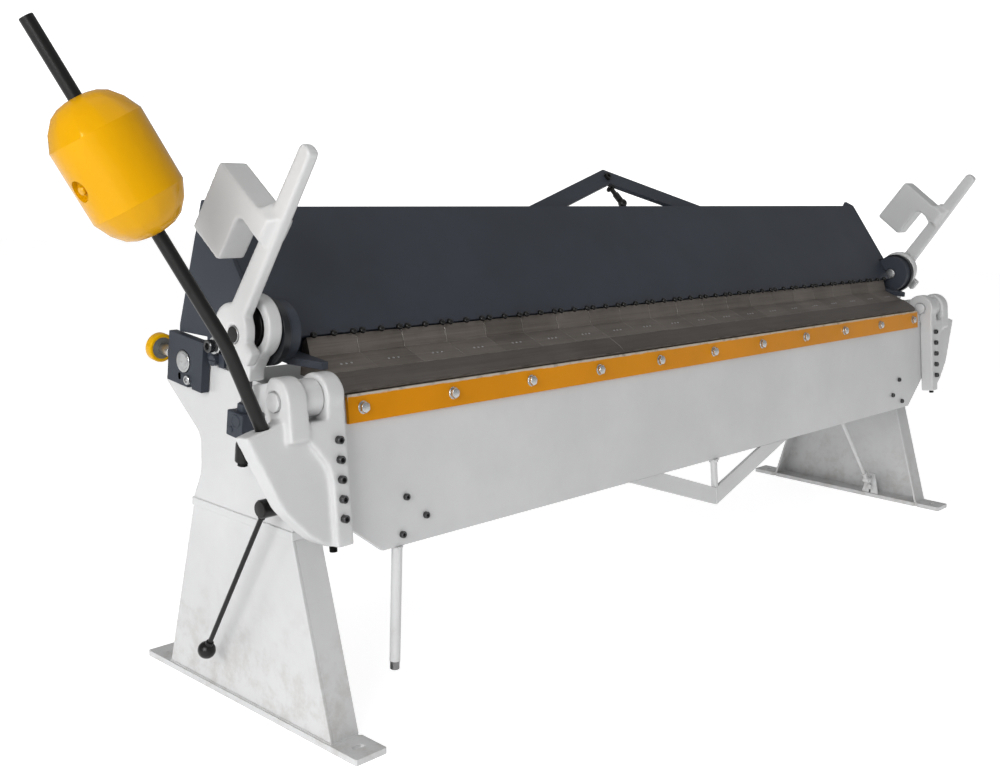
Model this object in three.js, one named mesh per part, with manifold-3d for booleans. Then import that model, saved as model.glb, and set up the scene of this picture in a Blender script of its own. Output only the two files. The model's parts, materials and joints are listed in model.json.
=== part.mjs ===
// Hand-operated sheet metal folder with a three metre working length.
//
// x runs along the machine (left end negative), y runs back from the clamp shafts, z runs up from the floor.
// Pieces that sit at both ends are built for the right end and mirrored for the left.

import * as THREE from "three";
import { mergeVertices } from "three/addons/utils/BufferGeometryUtils.js";
import ManifoldModule from "manifold-3d";

const kernel = await ManifoldModule();
kernel.setup();

// Whole machine, in millimetres
const workLength = 3050;
const tableHeight = 826;
const fitGap = 0.3;
const turnGap = 0.8;
const sheetGap = 1.3;
const cutOverrun = 30;

// Axes: depth behind the clamp shafts and rise above the table
const foldAxisY = -141;
const foldAxisRise = 0.5;
const clampAxisY = 9;
const clampAxisRise = 132;
const pivotY = 331;
const pivotRise = 21;
const swivelY = 30;
const swivelDrop = 81;

// Feet
const footFrontY = -317;
const footBackY = 552;
const footWidth = 94;
const footStep = 7;
const footThickness = 16;
const footCorner = 6;
const footSlotInset = 48;
const footSlotLength = 34;
const footSlotWidth = 14;
const footNotchRadius = 8;

// Stands
const standFlangeWidth = 84;
const standPlate = 8;
const standBottomFrontY = -220;
const standBottomBackY = 449;
const standTopFrontY = -73;
const standTopBackY = 334;
const standTopDrop = 353;

// Side frames
const frameMargin = 95;
const frameThickness = 40;
const frameLedge = 22;
const frameLedgeLip = 3;
const frameFrontY = -80;
const frameWaistY = 298;
const frameWaistDepth = 67;
const frameWaistHeight = 95;
const frameWaistRound = 26;
const frameRearY = 451;
const frameRearDrop = 44;
const frameRearRound = 10;
const frameRearHeight = 34;
const framePivotRound = 49;
const frameTopBackY = 240;
const frameTopBackRise = 22;
const frameTopFrontDrop = 3;
const frameTopCorner = 30;
const hornThickness = 24;
const hornRootY = 60;
const hornRootDrop = 130;
const hornHeelY = -20;
const hornHeelDrop = 186;
const hornToeY = -72;
const hornToeDrop = 130;
const bossRadius = 44;
const bossLength = 50;

// Bed
const tableThickness = 25;
const tableBackY = 250;
const tableFrontY = -80;
const tableNoseY = -105;
const tableNoseDepth = 66;
const tableRibY = 0;
const tableRibBaseY = -50;
const tableEarNotch = 58;
const bedWebFrontY = -30;
const bedWebThickness = 20;
const bedWebBottomDrop = 326;
const bladeFrontY = -139;
const bladeThickness = 26;
const bladeEdge = 4;
const bladeBevelY = -113;
const bladeMargin = 5;

// Diagonal tie rods
const tieRodRadius = 8;
const tieFootInset = 125;
const tieFootY = -12;
const tieFootZ = 84;
const tieTopInset = 530;
const tieTopDrop = 314;
const tieBracketWidth = 74;
const tieBracketHeight = 100;
const tieBracketThickness = 10;
const tieEyeRadius = 13;
const tieEyeLength = 28;
const tiePadWidth = 60;
const tiePadHeight = 70;
const tiePadThickness = 10;

// Hinge pins and ears of the folding beam
const hingePinRadius = 22.5;
const hingePinProud = 3;
const earRadius = 55;
const outerEarBack = 30;
const innerEarWidth = 51;
const outerEarWidth = 54;
const earSideGap = 2.5;

// Rear pivots and setback wheels
const pivotPinRadius = 28;
const pivotPinProud = 4;
const blockThickness = 24;
const blockStandoff = 2;
const blockFront = 81;
const blockBack = 69;
const blockBelow = 62;
const blockAbove = 65;
const blockTilt = THREE.MathUtils.degToRad(5.7);
const wheelRadius = 37;
const wheelThickness = 24;
const wheelStandoff = 43;
const wheelRise = 7;
const spindleRadius = 9;
const spindleDepth = 22;

// Upper beam
const beamSlope = Math.tan(blockTilt);
const beamFootY = -83.7;
const toolFootRise = 5.5;
const beamFootRise = 46;
const beamPlate = 18.5;
const beamBackY = 362;
const beamNotchY = 245;
const beamNotchInset = 46;
const beamChamferY = 58;
const beamChamferInset = 78;
const toolBarFrontY = 30;
const toolBarBackY = 76;
const toolBarInset = 91;
const frontPlateY = 8;
const frontPlateRise = 113;
const frontPlateLean = THREE.MathUtils.degToRad(36.65);
const frontPlateHeight = 366;
const frontPlateThickness = 12;
const endPlateThickness = 12;
const endPlateTopDepth = 38;
const endPlateTopRise = 16;
const endPlateBackRise = 92;
const endPlateBackY = 364;
const endPlateCorner = 8;
const lugRadius = 71;
const lugRimRadius = 79;
const lugInner = 33;
const lugRimWidth = 18;
const lugOuter = 20;
const upperTrussOuter = 497;
const upperTrussInner = 317;
const upperTrussRise = 156;
const upperTrussInnerRise = 98;
const upperTrussTail = 66;
const upperTrussThickness = 16;
const trussScrewRadius = 8;
const trussBallRadius = 16;

// Segmented upper tool
const segmentCount = 20;
const segmentInset = 5;
const segmentJoint = 1;
const segmentGroove = 3;
const segmentStepY = -9.5;
const segmentStepRise = 64.5;
const segmentTopY = 5;
const segmentTopRise = 109;
const segmentFootRise = 35.8;
const segmentBackY = 28;
const segmentBackTopY = 21;
const segmentBackTopRise = 97;
const noseTipY = -141.5;
const noseBevelY = -124;
const noseBevelRise = 15;
const noseRise = 35.5;
const noseFlatY = -112;
const noseHeelRise = 6;
const noseMargin = 5;
const noseJointShare = 0.3;

// Clamp linkage
const leverLean = THREE.MathUtils.degToRad(35.9);
const shaftRadius = 20;
const shaftProud = 3;
const eccentricRadius = 45;
const eccentricity = 15;
const ringPlay = 7;
const ringRadius = 75;
const ringInner = 22.5;
const ringOuter = 60.5;
const shankInset = 2.5;
const shankDepth = 44;
const shankBottom = 62;
const strapRodRadius = 12;
const strapRodBelow = 104;
const strapCollarRadius = 20;
const strapCollarHeight = 18;
const sleeveRadius = 19;
const sleeveLength = 64;
const swivelSize = 60;
const swivelStandoff = 28;
const trunnionRadius = 14;
const trunnionDepth = 22;
const leverInner = 76.5;
const leverThickness = 29.5;
const leverHubRadius = 63;
const leverHubY = 14.5;
const leverLength = 488.5;
const leverRootFront = -11;
const leverRootBack = 46;
const leverTipFront = 17;
const leverTipBack = 56;
const leverTipRound = 14;
const nubFront = -79;
const nubLow = -28;
const nubHigh = 14;
const padLow = 230;
const padHigh = 327;
const padFront = 6;
const padSlopeLow = 19;
const padSlopeHigh = 24;
const padSlopeFront = 20;
const padSlopeBack = 8;
const branchLow = 249;
const branchRound = 22;
const balanceLow = 118.5;
const balanceHigh = 302.5;
const balanceFront = 115.5;
const balanceBack = 234.5;
const balanceThickness = 72;
const balanceRound = 9;

// Folding beam, drawn hanging straight down from the fold axis
const foldTilt = THREE.MathUtils.degToRad(7);
const foldPlateThickness = 14;
const foldPlateTop = 20;
const foldPlateBottom = 390;
const foldPlateEnd = 87;
const foldPlateEarStep = 34;
const foldPlateEarDrop = 58;
const foldChamferStart = 262;
const foldChamferInset = 86;
const railThickness = 10;
const railTop = 6;
const railBottom = 74;
const railBoltCount = 11;
const railBoltMargin = 45;
const railBoltDrop = 40;
const railBoltHead = 14;
const railBoltHeadHeight = 10;
const railBoltRadius = 8;
const backStripThickness = 8;
const backStripHeight = 28;
const boltPlay = 0.5;

// Fold arm castings
const flangeFront = 51;
const armBottom = 342;
const flangeEdge = 49;
const webFront = 34;
const webBack = 14;
const webUnderBoss = 50;
const webShoulderDrop = 36;
const webShoulder = 172;
const armCornerReach = 206;
const armCornerDrop = 64;
const armElbowReach = 123;
const armElbowDrop = 238;
const armElbowRound = 28;
const armHeelReach = 47;
const armHeelDrop = 316;
const armHeelRound = 30;
const outerEarDrop = 91;
const outerEarDepth = 35;
const ribBendDrop = 165;
const armBoltCount = 5;
const armBoltInset = 26;
const armBoltTop = 98;
const armBoltPitch = 45;
const armBoltHeadRadius = 9;
const armBoltHeadHeight = 12;
const armBoltRadius = 6;
const jackScrewRadius = 9.5;
const jackScrewInset = 11;
const jackScrewY = -25;
const jackScrewLength = 46;
const jackScrewProud = 12;

// Lower truss and handle
const lowerTrussOuter = 459;
const lowerTrussInner = 287;
const lowerTrussDepth = 150;
const lowerTrussInnerDepth = 94;
const lowerTrussSkin = 1;
const strutRadius = 11;
const strutNutRadius = 17;
const strutNutHeight = 10;
const handleInset = 136;
const handleRadius = 13.5;
const handleLength = 290;
const handleTipRadius = 12;
const handleTipLength = 24;

// Counterweight and its rod, from the left fold arm
const weightRodRadius = 15;
const rodSocketReach = 146;
const rodSocketY = -12;
const rodSocketDrop = 61;
const rodSocketDepth = 40;
const rodBendReach = 230;
const rodBendY = -21;
const rodBendRise = 137;
const rodBendRound = 26;
const rodTopReach = 551;
const rodTopY = 79;
const rodTopRise = 788;
const weightRadius = 100;
const weightLength = 298;
const weightEndRadius = 24;
const weightDome = 110;
const weightPlay = 0.8;
const weightAlongRod = 414;
const grubRecessRadius = 10;
const grubRecessDepth = 12;
const grubTurn = THREE.MathUtils.degToRad(117);

// Lock lever on the left side frame
const lockY = -50;
const lockDrop = 267;
const lockHubRadius = 22;
const lockHubLength = 78;
const lockStubRadius = 11;
const lockStubDepth = 24;
const lockBallY = 192;
const lockBallZ = 141;
const lockRodRadius = 6;
const lockRodInset = 18;
const lockBallRadius = 22.5;

// Facets of round pieces
const largeSides = 28;
const smallSides = 16;
const boltSides = 8;
const hexSides = 6;
const rodSteps = 18;

// Stations worked out from the sizes above
const halfWork = workLength / 2;
const frameOuterX = halfWork + frameMargin;
const frameInnerX = frameOuterX - frameThickness;
const foldAxisZ = tableHeight + foldAxisRise;
const clampAxisZ = tableHeight + clampAxisRise;
const pivotZ = tableHeight + pivotRise;
const swivelZ = tableHeight - swivelDrop;
const standTopZ = tableHeight - standTopDrop;
const bedWebBottomZ = tableHeight - bedWebBottomDrop;
const tieTopZ = tableHeight - tieTopDrop;
const lockZ = tableHeight - lockDrop;
const standInnerX = frameOuterX - standFlangeWidth;
const innerEarX = [frameOuterX - earSideGap - innerEarWidth, frameOuterX - earSideGap];
const bossEndX = frameOuterX + bossLength;
const outerEarX = [bossEndX + earSideGap, bossEndX + earSideGap + outerEarWidth];
const blockX = [frameOuterX + blockStandoff, frameOuterX + blockStandoff + blockThickness];
const lugX = [frameOuterX - lugInner, frameOuterX + lugOuter];
const lugRimX = [lugX[1] - lugRimWidth, lugX[1]];
const ringX = [frameOuterX + ringInner, frameOuterX + ringOuter];
const swivelX = [frameOuterX + swivelStandoff, frameOuterX + swivelStandoff + swivelSize];
const leverX = [frameOuterX + leverInner, frameOuterX + leverInner + leverThickness];
const endPlateX = [frameOuterX + blockStandoff, frameOuterX + blockStandoff + endPlateThickness];
const segmentEndX = halfWork - segmentInset;

const paint = {
  light: new THREE.MeshStandardMaterial({ color: 0xc9cccd, roughness: 0.4, metalness: 0.0 }),
  slate: new THREE.MeshStandardMaterial({ color: 0x454a52, roughness: 0.6, metalness: 0.0 }),
  ochre: new THREE.MeshStandardMaterial({ color: 0xc88214, roughness: 0.4, metalness: 0.0 }),
  yellow: new THREE.MeshStandardMaterial({ color: 0xf5b90a, roughness: 0.25, metalness: 0.0 }),
  blade: new THREE.MeshStandardMaterial({ color: 0x6c645d, roughness: 0.45, metalness: 1.0 }),
  zinc: new THREE.MeshStandardMaterial({ color: 0xbfc3c6, roughness: 0.35, metalness: 1.0 }),
  black: new THREE.MeshStandardMaterial({ color: 0x1c1d1f, roughness: 0.45, metalness: 0.4 }),
};

// Shape helpers

// A block between two limits on each axis.
function block(x, y, z) {
  const geometry = new THREE.BoxGeometry(x[1] - x[0], y[1] - y[0], z[1] - z[0]);
  geometry.translate((x[0] + x[1]) / 2, (y[0] + y[1]) / 2, (z[0] + z[1]) / 2);
  return geometry;
}

// An outline of corners [a, b] or [a, b, radius], rounded where a corner names a radius.
function outlineShape(corners) {
  const shape = new THREE.Shape();
  const count = corners.length;
  corners.forEach(([a, b, radius = 0], index) => {
    const corner = new THREE.Vector2(a, b);
    const before = new THREE.Vector2(...corners[(index + count - 1) % count].slice(0, 2));
    const after = new THREE.Vector2(...corners[(index + 1) % count].slice(0, 2));
    const reach = Math.min(radius, corner.distanceTo(before) / 2.1, corner.distanceTo(after) / 2.1);
    const enter = corner.clone().add(before.sub(corner).setLength(reach));
    const leave = corner.clone().add(after.sub(corner).setLength(reach));
    if (index === 0) shape.moveTo(enter.x, enter.y);
    else shape.lineTo(enter.x, enter.y);
    if (radius > 0) shape.quadraticCurveTo(corner.x, corner.y, leave.x, leave.y);
  });
  shape.closePath();
  return shape;
}

function extrude(corners, depth) {
  return new THREE.ExtrudeGeometry(outlineShape(corners), { depth, bevelEnabled: false, curveSegments: 6 });
}

const axisX = new THREE.Vector3(1, 0, 0);
const axisY = new THREE.Vector3(0, 1, 0);
const axisZ = new THREE.Vector3(0, 0, 1);

// A plate whose outline is drawn in y and z.
function plateAcrossX(corners, x) {
  const geometry = extrude(corners, x[1] - x[0]);
  geometry.applyMatrix4(new THREE.Matrix4().makeBasis(axisY, axisZ, axisX));
  geometry.translate(x[0], 0, 0);
  return geometry;
}

// The outline of a round ear whose back half is pressed flatter.
function flatBackedRound(radius, back) {
  return Array.from({ length: largeSides }, (_, step) => {
    const angle = (2 * Math.PI * step) / largeSides;
    const reach = Math.cos(angle) > 0 ? back : radius;
    return [reach * Math.cos(angle), radius * Math.sin(angle)];
  });
}

// A plate whose outline is drawn in x and z.
function plateAcrossY(corners, y) {
  const geometry = extrude(corners, y[1] - y[0]);
  geometry.applyMatrix4(new THREE.Matrix4().makeBasis(axisX, axisZ, axisY.clone().negate()));
  geometry.translate(0, y[1], 0);
  return geometry;
}

// A plate whose outline is drawn in x and y.
function plateAcrossZ(corners, z) {
  const geometry = extrude(corners, z[1] - z[0]);
  geometry.translate(0, 0, z[0]);
  return geometry;
}

// A round bar from one point to another.
function bar(from, to, radius, sides = smallSides) {
  const start = new THREE.Vector3(...from);
  const run = new THREE.Vector3(...to).sub(start);
  const geometry = new THREE.CylinderGeometry(radius, radius, run.length(), sides);
  geometry.translate(0, run.length() / 2, 0);
  geometry.applyQuaternion(new THREE.Quaternion().setFromUnitVectors(axisY, run.clone().normalize()));
  geometry.translate(start.x, start.y, start.z);
  return geometry;
}

function barAlongX(x, [y, z], radius, sides) {
  return bar([x[0], y, z], [x[1], y, z], radius, sides);
}

// Solid helpers

function solidOf(geometry) {
  const bare = geometry.clone();
  bare.deleteAttribute("normal");
  bare.deleteAttribute("uv");
  const merged = mergeVertices(bare);
  const mesh = new kernel.Mesh({
    numProp: 3,
    vertProperties: new Float32Array(merged.attributes.position.array),
    triVerts: new Uint32Array(merged.index.array),
  });
  mesh.merge();
  return new kernel.Manifold(mesh);
}

function geometryOf(solid) {
  const mesh = solid.getMesh();
  const geometry = new THREE.BufferGeometry();
  geometry.setAttribute("position", new THREE.BufferAttribute(new Float32Array(mesh.vertProperties), 3));
  geometry.setIndex(new THREE.BufferAttribute(new Uint32Array(mesh.triVerts), 1));
  return geometry;
}

function join(...geometries) {
  return geometryOf(geometries.map(solidOf).reduce((whole, next) => whole.add(next)));
}

function cut(geometry, ...tools) {
  return geometryOf(tools.map(solidOf).reduce((whole, tool) => whole.subtract(tool), solidOf(geometry)));
}

// The same piece at the left end.
function mirrored(geometry) {
  const copy = geometry.index ? geometry.toNonIndexed() : geometry.clone();
  copy.scale(-1, 1, 1);
  const position = copy.attributes.position;
  for (let first = 0; first < position.count; first += 3) {
    const a = new THREE.Vector3().fromBufferAttribute(position, first);
    const b = new THREE.Vector3().fromBufferAttribute(position, first + 1);
    position.setXYZ(first, b.x, b.y, b.z);
    position.setXYZ(first + 1, a.x, a.y, a.z);
  }
  return copy;
}

function addPiece(parent, name, geometry, material) {
  const flat = geometry.index ? geometry.toNonIndexed() : geometry;
  flat.computeVertexNormals();
  const mesh = new THREE.Mesh(flat, material);
  mesh.name = name;
  parent.add(mesh);
}

// Adds a piece at both ends; make(side) builds it for the right end.
function addPair(parent, name, make, material) {
  addPiece(parent, `${name}_left`, mirrored(make("left")), material);
  addPiece(parent, `${name}_right`, make("right"), material);
}

function frameAt(parent, y, z, turn) {
  const frame = new THREE.Group();
  frame.position.set(0, y, z);
  frame.rotation.x = turn;
  parent.add(frame);
  return frame;
}

// Feet and stands

function makeFoot() {
  const outer = frameOuterX + footStep;
  const inner = outer - footWidth;
  const middle = (outer + inner) / 2;
  const plate = plateAcrossZ(
    [
      [inner, footFrontY, footCorner],
      [outer, footFrontY, footCorner],
      [outer, footBackY, footCorner],
      [inner, footBackY, footCorner],
    ],
    [0, footThickness],
  );
  const height = [-cutOverrun, footThickness + cutOverrun];
  const slots = [footFrontY + footSlotInset, footBackY - footSlotInset].map((y) =>
    plateAcrossZ(
      [
        [middle - footSlotLength / 2, y - footSlotWidth / 2, footSlotWidth / 2],
        [middle + footSlotLength / 2, y - footSlotWidth / 2, footSlotWidth / 2],
        [middle + footSlotLength / 2, y + footSlotWidth / 2, footSlotWidth / 2],
        [middle - footSlotLength / 2, y + footSlotWidth / 2, footSlotWidth / 2],
      ],
      height,
    ),
  );
  const notches = [standBottomFrontY, standBottomBackY].map((y) =>
    bar([inner, y, height[0]], [inner, y, height[1]], footNotchRadius, boltSides),
  );
  return cut(plate, ...slots, ...notches);
}

function makeStandWeb() {
  const bottom = footThickness + fitGap;
  return plateAcrossX(
    [
      [standBottomFrontY, bottom],
      [standBottomBackY, bottom],
      [standTopBackY, standTopZ],
      [standTopFrontY, standTopZ],
    ],
    [frameOuterX - standPlate, frameOuterX],
  );
}

function makeStandFlange(bottomY, topY, inward) {
  const bottom = footThickness + fitGap;
  return plateAcrossX(
    [
      [bottomY, bottom],
      [bottomY + inward * standPlate, bottom],
      [topY + inward * standPlate, standTopZ],
      [topY, standTopZ],
    ],
    [standInnerX, frameOuterX - standPlate - fitGap],
  );
}

// Side frames

function makeSideFrame(side) {
  const ledgeTop = standTopZ + frameLedge;
  const top = tableHeight - frameTopFrontDrop;
  const body = plateAcrossX(
    [
      [standTopFrontY, ledgeTop - fitGap],
      [standTopBackY, ledgeTop - fitGap],
      [frameWaistY, standTopZ + frameWaistHeight, frameWaistRound],
      [frameWaistY, standTopZ + frameWaistHeight + frameWaistHeight, frameWaistRound],
      [frameRearY, tableHeight - frameRearDrop, frameRearRound],
      [frameRearY - frameRearRound, tableHeight - frameRearDrop + frameRearHeight, frameRearRound],
      [pivotY + framePivotRound, pivotZ + framePivotRound, framePivotRound],
      [pivotY - framePivotRound, pivotZ + framePivotRound, framePivotRound],
      [frameTopBackY, tableHeight + frameTopBackRise],
      [frameFrontY + frameTopCorner, top],
      [frameFrontY, top - frameTopCorner],
      [frameFrontY, ledgeTop + frameWaistDepth],
    ],
    [frameInnerX, frameOuterX],
  );
  const ledge = block(
    [standInnerX, frameOuterX + frameLedgeLip],
    [standTopFrontY - frameLedgeLip, standTopBackY + frameLedgeLip],
    [standTopZ + fitGap, ledgeTop],
  );
  const horn = plateAcrossX(
    [
      [foldAxisY, foldAxisZ + bossRadius],
      [hornRootY, tableHeight],
      [hornRootY, tableHeight - hornRootDrop],
      [hornHeelY, tableHeight - hornHeelDrop],
      [hornToeY, tableHeight - hornToeDrop],
      [foldAxisY + bossRadius / 2, foldAxisZ - bossRadius],
    ],
    [frameOuterX - fitGap, frameOuterX + hornThickness],
  );
  const boss = barAlongX([frameOuterX - fitGap, bossEndX], [foldAxisY, foldAxisZ], bossRadius, largeSides);
  const through = [frameInnerX - cutOverrun, bossEndX + cutOverrun];
  const bores = [
    barAlongX(through, [foldAxisY, foldAxisZ], hingePinRadius + fitGap, largeSides),
    barAlongX(through, [pivotY, pivotZ], pivotPinRadius + fitGap, largeSides),
    barAlongX([frameOuterX - trunnionDepth, through[1]], [swivelY, swivelZ], trunnionRadius + turnGap),
  ];
  if (side === "left") {
    const lockBore = [frameOuterX - lockStubDepth - turnGap, frameOuterX + cutOverrun];
    bores.push(barAlongX(lockBore, [lockY, lockZ], lockStubRadius + turnGap));
  }
  return cut(join(body, ledge, horn, boss), ...bores);
}

function makeHingePin() {
  const ends = [innerEarX[0] - hingePinProud, outerEarX[1] + hingePinProud];
  return barAlongX(ends, [foldAxisY, foldAxisZ], hingePinRadius, largeSides);
}

function makePivotPin() {
  return barAlongX([frameInnerX, blockX[1] + pivotPinProud], [pivotY, pivotZ], pivotPinRadius, largeSides);
}

// Bed

function makeBedTable() {
  const under = tableHeight - tableThickness;
  const noseTop = tableHeight - bladeThickness - fitGap;
  const half = frameInnerX - fitGap;
  const plate = plateAcrossX(
    [
      [tableFrontY, tableHeight],
      [tableBackY, tableHeight],
      [tableBackY, under],
      [tableRibY, under],
      [tableRibBaseY, tableHeight - tableNoseDepth],
      [tableNoseY, tableHeight - tableNoseDepth],
      [tableNoseY, noseTop],
      [tableFrontY, noseTop],
    ],
    [-half, half],
  );
  const notchDepth = [tableNoseY - cutOverrun, tableFrontY - fitGap];
  const notchHeight = [under - cutOverrun - tableNoseDepth, tableHeight + cutOverrun];
  const notchStart = innerEarX[0] - (tableEarNotch - innerEarWidth);
  return cut(
    plate,
    block([notchStart, half + cutOverrun], notchDepth, notchHeight),
    block([-half - cutOverrun, -notchStart], notchDepth, notchHeight),
  );
}

function makeBedWeb() {
  const half = frameInnerX - fitGap;
  const top = tableHeight - tableNoseDepth - fitGap;
  return block([-half, half], [bedWebFrontY - bedWebThickness, bedWebFrontY], [bedWebBottomZ, top]);
}

function makeBedBlade() {
  const half = halfWork + bladeMargin;
  return plateAcrossX(
    [
      [bladeFrontY, tableHeight],
      [tableFrontY - fitGap, tableHeight],
      [tableFrontY - fitGap, tableHeight - bladeThickness],
      [bladeBevelY, tableHeight - bladeThickness],
      [bladeFrontY, tableHeight - bladeEdge],
    ],
    [-half, half],
  );
}

function makeTieRod() {
  const foot = [frameOuterX - tieFootInset, tieFootY, tieFootZ];
  const head = [frameOuterX - tieTopInset, tieFootY, tieTopZ];
  const plateX = [frameOuterX - standFlangeWidth + fitGap, frameOuterX - standFlangeWidth + tieBracketThickness];
  const bracket = plateAcrossX(
    [
      [tieFootY - tieBracketWidth / 2, footThickness + fitGap],
      [tieFootY + tieBracketWidth / 2, footThickness + fitGap],
      [tieFootY + tieEyeRadius, tieBracketHeight],
      [tieFootY - tieEyeRadius, tieBracketHeight],
    ],
    plateX,
  );
  const eyeHalf = tieEyeLength / 2;
  const eye = bar([foot[0], tieFootY - eyeHalf, tieFootZ], [foot[0], tieFootY + eyeHalf, tieFootZ], tieEyeRadius);
  const stud = barAlongX([foot[0], plateX[1]], [tieFootY, tieFootZ], tieRodRadius);
  const rod = bar(foot, head, tieRodRadius);
  const padBack = bedWebFrontY + fitGap;
  const pad = block(
    [head[0] - tiePadWidth / 2, head[0] + tiePadWidth / 2],
    [padBack, padBack + tiePadThickness],
    [bedWebBottomZ, bedWebBottomZ + tiePadHeight],
  );
  const link = block(
    [head[0] - tieEyeRadius, head[0] + tieEyeRadius],
    [padBack, tieFootY],
    [tieTopZ - tieEyeRadius, tieTopZ + tieEyeRadius],
  );
  return join(bracket, eye, stud, rod, pad, link);
}

// Upper beam

function toolUnderside(y) {
  return tableHeight + toolFootRise + beamSlope * (y - beamFootY);
}

function beamUnderside(y) {
  return tableHeight + beamFootRise + beamSlope * (y - beamFootY);
}

function beamTopside(y) {
  return beamUnderside(y) + beamPlate;
}

// The place of a point of the front plate: back is the depth behind its face, up runs along it.
function onFrontPlate(back, up) {
  const y = frontPlateY + back * Math.cos(frontPlateLean) + up * Math.sin(frontPlateLean);
  const z = tableHeight + frontPlateRise - back * Math.sin(frontPlateLean) + up * Math.cos(frontPlateLean);
  return [y, z];
}

// Height of the front plate's back face above a depth y.
function frontPlateBackHeight(y) {
  const [lowY, lowZ] = onFrontPlate(frontPlateThickness, 0);
  return lowZ + (y - lowY) / Math.tan(frontPlateLean);
}

function makeUpperBase() {
  const half = endPlateX[0] - fitGap;
  const barHalf = frameOuterX - toolBarInset;
  const plate = plateAcrossX(
    [
      [beamFootY, beamUnderside(beamFootY)],
      [beamBackY, beamUnderside(beamBackY)],
      [beamBackY, beamTopside(beamBackY)],
      [beamFootY, beamTopside(beamFootY)],
    ],
    [-half, half],
  );
  const clear = fitGap + fitGap;
  const toolBar = plateAcrossX(
    [
      [toolBarFrontY, beamUnderside(toolBarFrontY) + fitGap],
      [toolBarBackY, beamUnderside(toolBarBackY) + fitGap],
      [toolBarBackY, frontPlateBackHeight(toolBarBackY) - clear],
      [toolBarFrontY, frontPlateBackHeight(toolBarFrontY) - clear],
    ],
    [-barHalf, barHalf],
  );
  const height = [tableHeight - cutOverrun, tableHeight + clampAxisRise];
  const rearNotch = frameInnerX - fitGap - (beamNotchInset - frameThickness);
  const corners = [1, -1].flatMap((side) => [
    plateAcrossZ(
      [
        [side * (half + cutOverrun), beamFootY - cutOverrun],
        [side * (half - beamChamferInset), beamFootY - cutOverrun],
        [side * (half - beamChamferInset), beamFootY],
        [side * half, beamChamferY],
        [side * (half + cutOverrun), beamChamferY],
      ],
      height,
    ),
    plateAcrossZ(
      [
        [side * rearNotch, beamNotchY],
        [side * (half + cutOverrun), beamNotchY],
        [side * (half + cutOverrun), beamBackY + cutOverrun],
        [side * rearNotch, beamBackY + cutOverrun],
      ],
      height,
    ),
  ]);
  const pocket = block([-halfWork - fitGap, halfWork + fitGap], [beamFootY - cutOverrun, toolBarFrontY], height);
  const rightLug = barAlongX([lugX[0] - shaftProud - fitGap, lugX[1]], [clampAxisY, clampAxisZ], lugRimRadius + fitGap, largeSides);
  return join(cut(plate, ...corners, pocket, rightLug, mirrored(rightLug)), toolBar);
}

function makeFrontPlate() {
  const half = endPlateX[0] - fitGap;
  const plate = plateAcrossY(
    [
      [-half, 0],
      [half, 0],
      [half, frontPlateHeight],
      [-half, frontPlateHeight],
    ],
    [0, frontPlateThickness],
  );
  plate.rotateX(-frontPlateLean);
  plate.translate(0, frontPlateY, tableHeight + frontPlateRise);
  const lugStart = lugX[0] - shaftProud - fitGap;
  const rightLug = barAlongX([lugStart, lugX[1]], [clampAxisY, clampAxisZ], lugRimRadius + fitGap, largeSides);
  return cut(plate, rightLug, mirrored(rightLug));
}

function blockOutline(gap) {
  return [
    [-blockFront - gap, -blockBelow - gap],
    [blockBack + gap, -blockBelow - gap],
    [blockBack + gap, blockAbove + gap],
    [-blockFront - gap, blockAbove + gap],
  ];
}

function makeEndPlate() {
  const [topY, topZ] = onFrontPlate(0, frontPlateHeight);
  const [footY, footZ] = onFrontPlate(0, 0);
  const backZ = tableHeight + endPlateBackRise;
  const plate = plateAcrossX(
    [
      [footY, footZ],
      [topY, topZ, endPlateCorner],
      [topY + endPlateTopDepth, topZ + endPlateTopRise, endPlateCorner],
      [endPlateBackY, backZ + endPlateTopRise, endPlateCorner],
      [endPlateBackY, backZ],
      [beamNotchY, backZ],
      [beamNotchY, toolUnderside(beamNotchY)],
      [beamChamferY, toolUnderside(beamChamferY)],
      [beamChamferY, footZ - endPlateTopDepth],
    ],
    endPlateX,
  );
  const bearing = plateAcrossX(blockOutline(fitGap), [blockX[0] - fitGap, blockX[1] + cutOverrun]);
  bearing.rotateX(blockTilt);
  bearing.translate(0, pivotY, pivotZ);
  const lug = barAlongX(lugX, [clampAxisY, clampAxisZ], lugRadius, largeSides);
  const rim = barAlongX(lugRimX, [clampAxisY, clampAxisZ], lugRimRadius, largeSides);
  const bore = barAlongX(
    [lugX[0] - cutOverrun, lugX[1] + cutOverrun],
    [clampAxisY, clampAxisZ],
    shaftRadius + turnGap,
    largeSides,
  );
  return cut(join(cut(plate, bearing), lug, rim), bore);
}

function makeBearingBlock() {
  const body = plateAcrossX(blockOutline(0), blockX);
  const pinBore = barAlongX(
    [blockX[0] - cutOverrun, blockX[1] + cutOverrun],
    [0, 0],
    pivotPinRadius + turnGap,
    largeSides,
  );
  const middle = (blockX[0] + blockX[1]) / 2;
  const spindleBore = bar(
    [middle, blockBack - spindleDepth - turnGap, wheelRise],
    [middle, blockBack + cutOverrun, wheelRise],
    spindleRadius + turnGap,
  );
  return cut(body, pinBore, spindleBore);
}

function makeSetbackWheel() {
  const middle = (blockX[0] + blockX[1]) / 2;
  const start = blockBack + wheelStandoff;
  const spindle = bar(
    [middle, blockBack - spindleDepth, wheelRise],
    [middle, start + wheelThickness / 2, wheelRise],
    spindleRadius,
  );
  const wheel = bar([middle, start, wheelRise], [middle, start + wheelThickness, wheelRise], wheelRadius, largeSides);
  return join(spindle, wheel);
}

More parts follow.
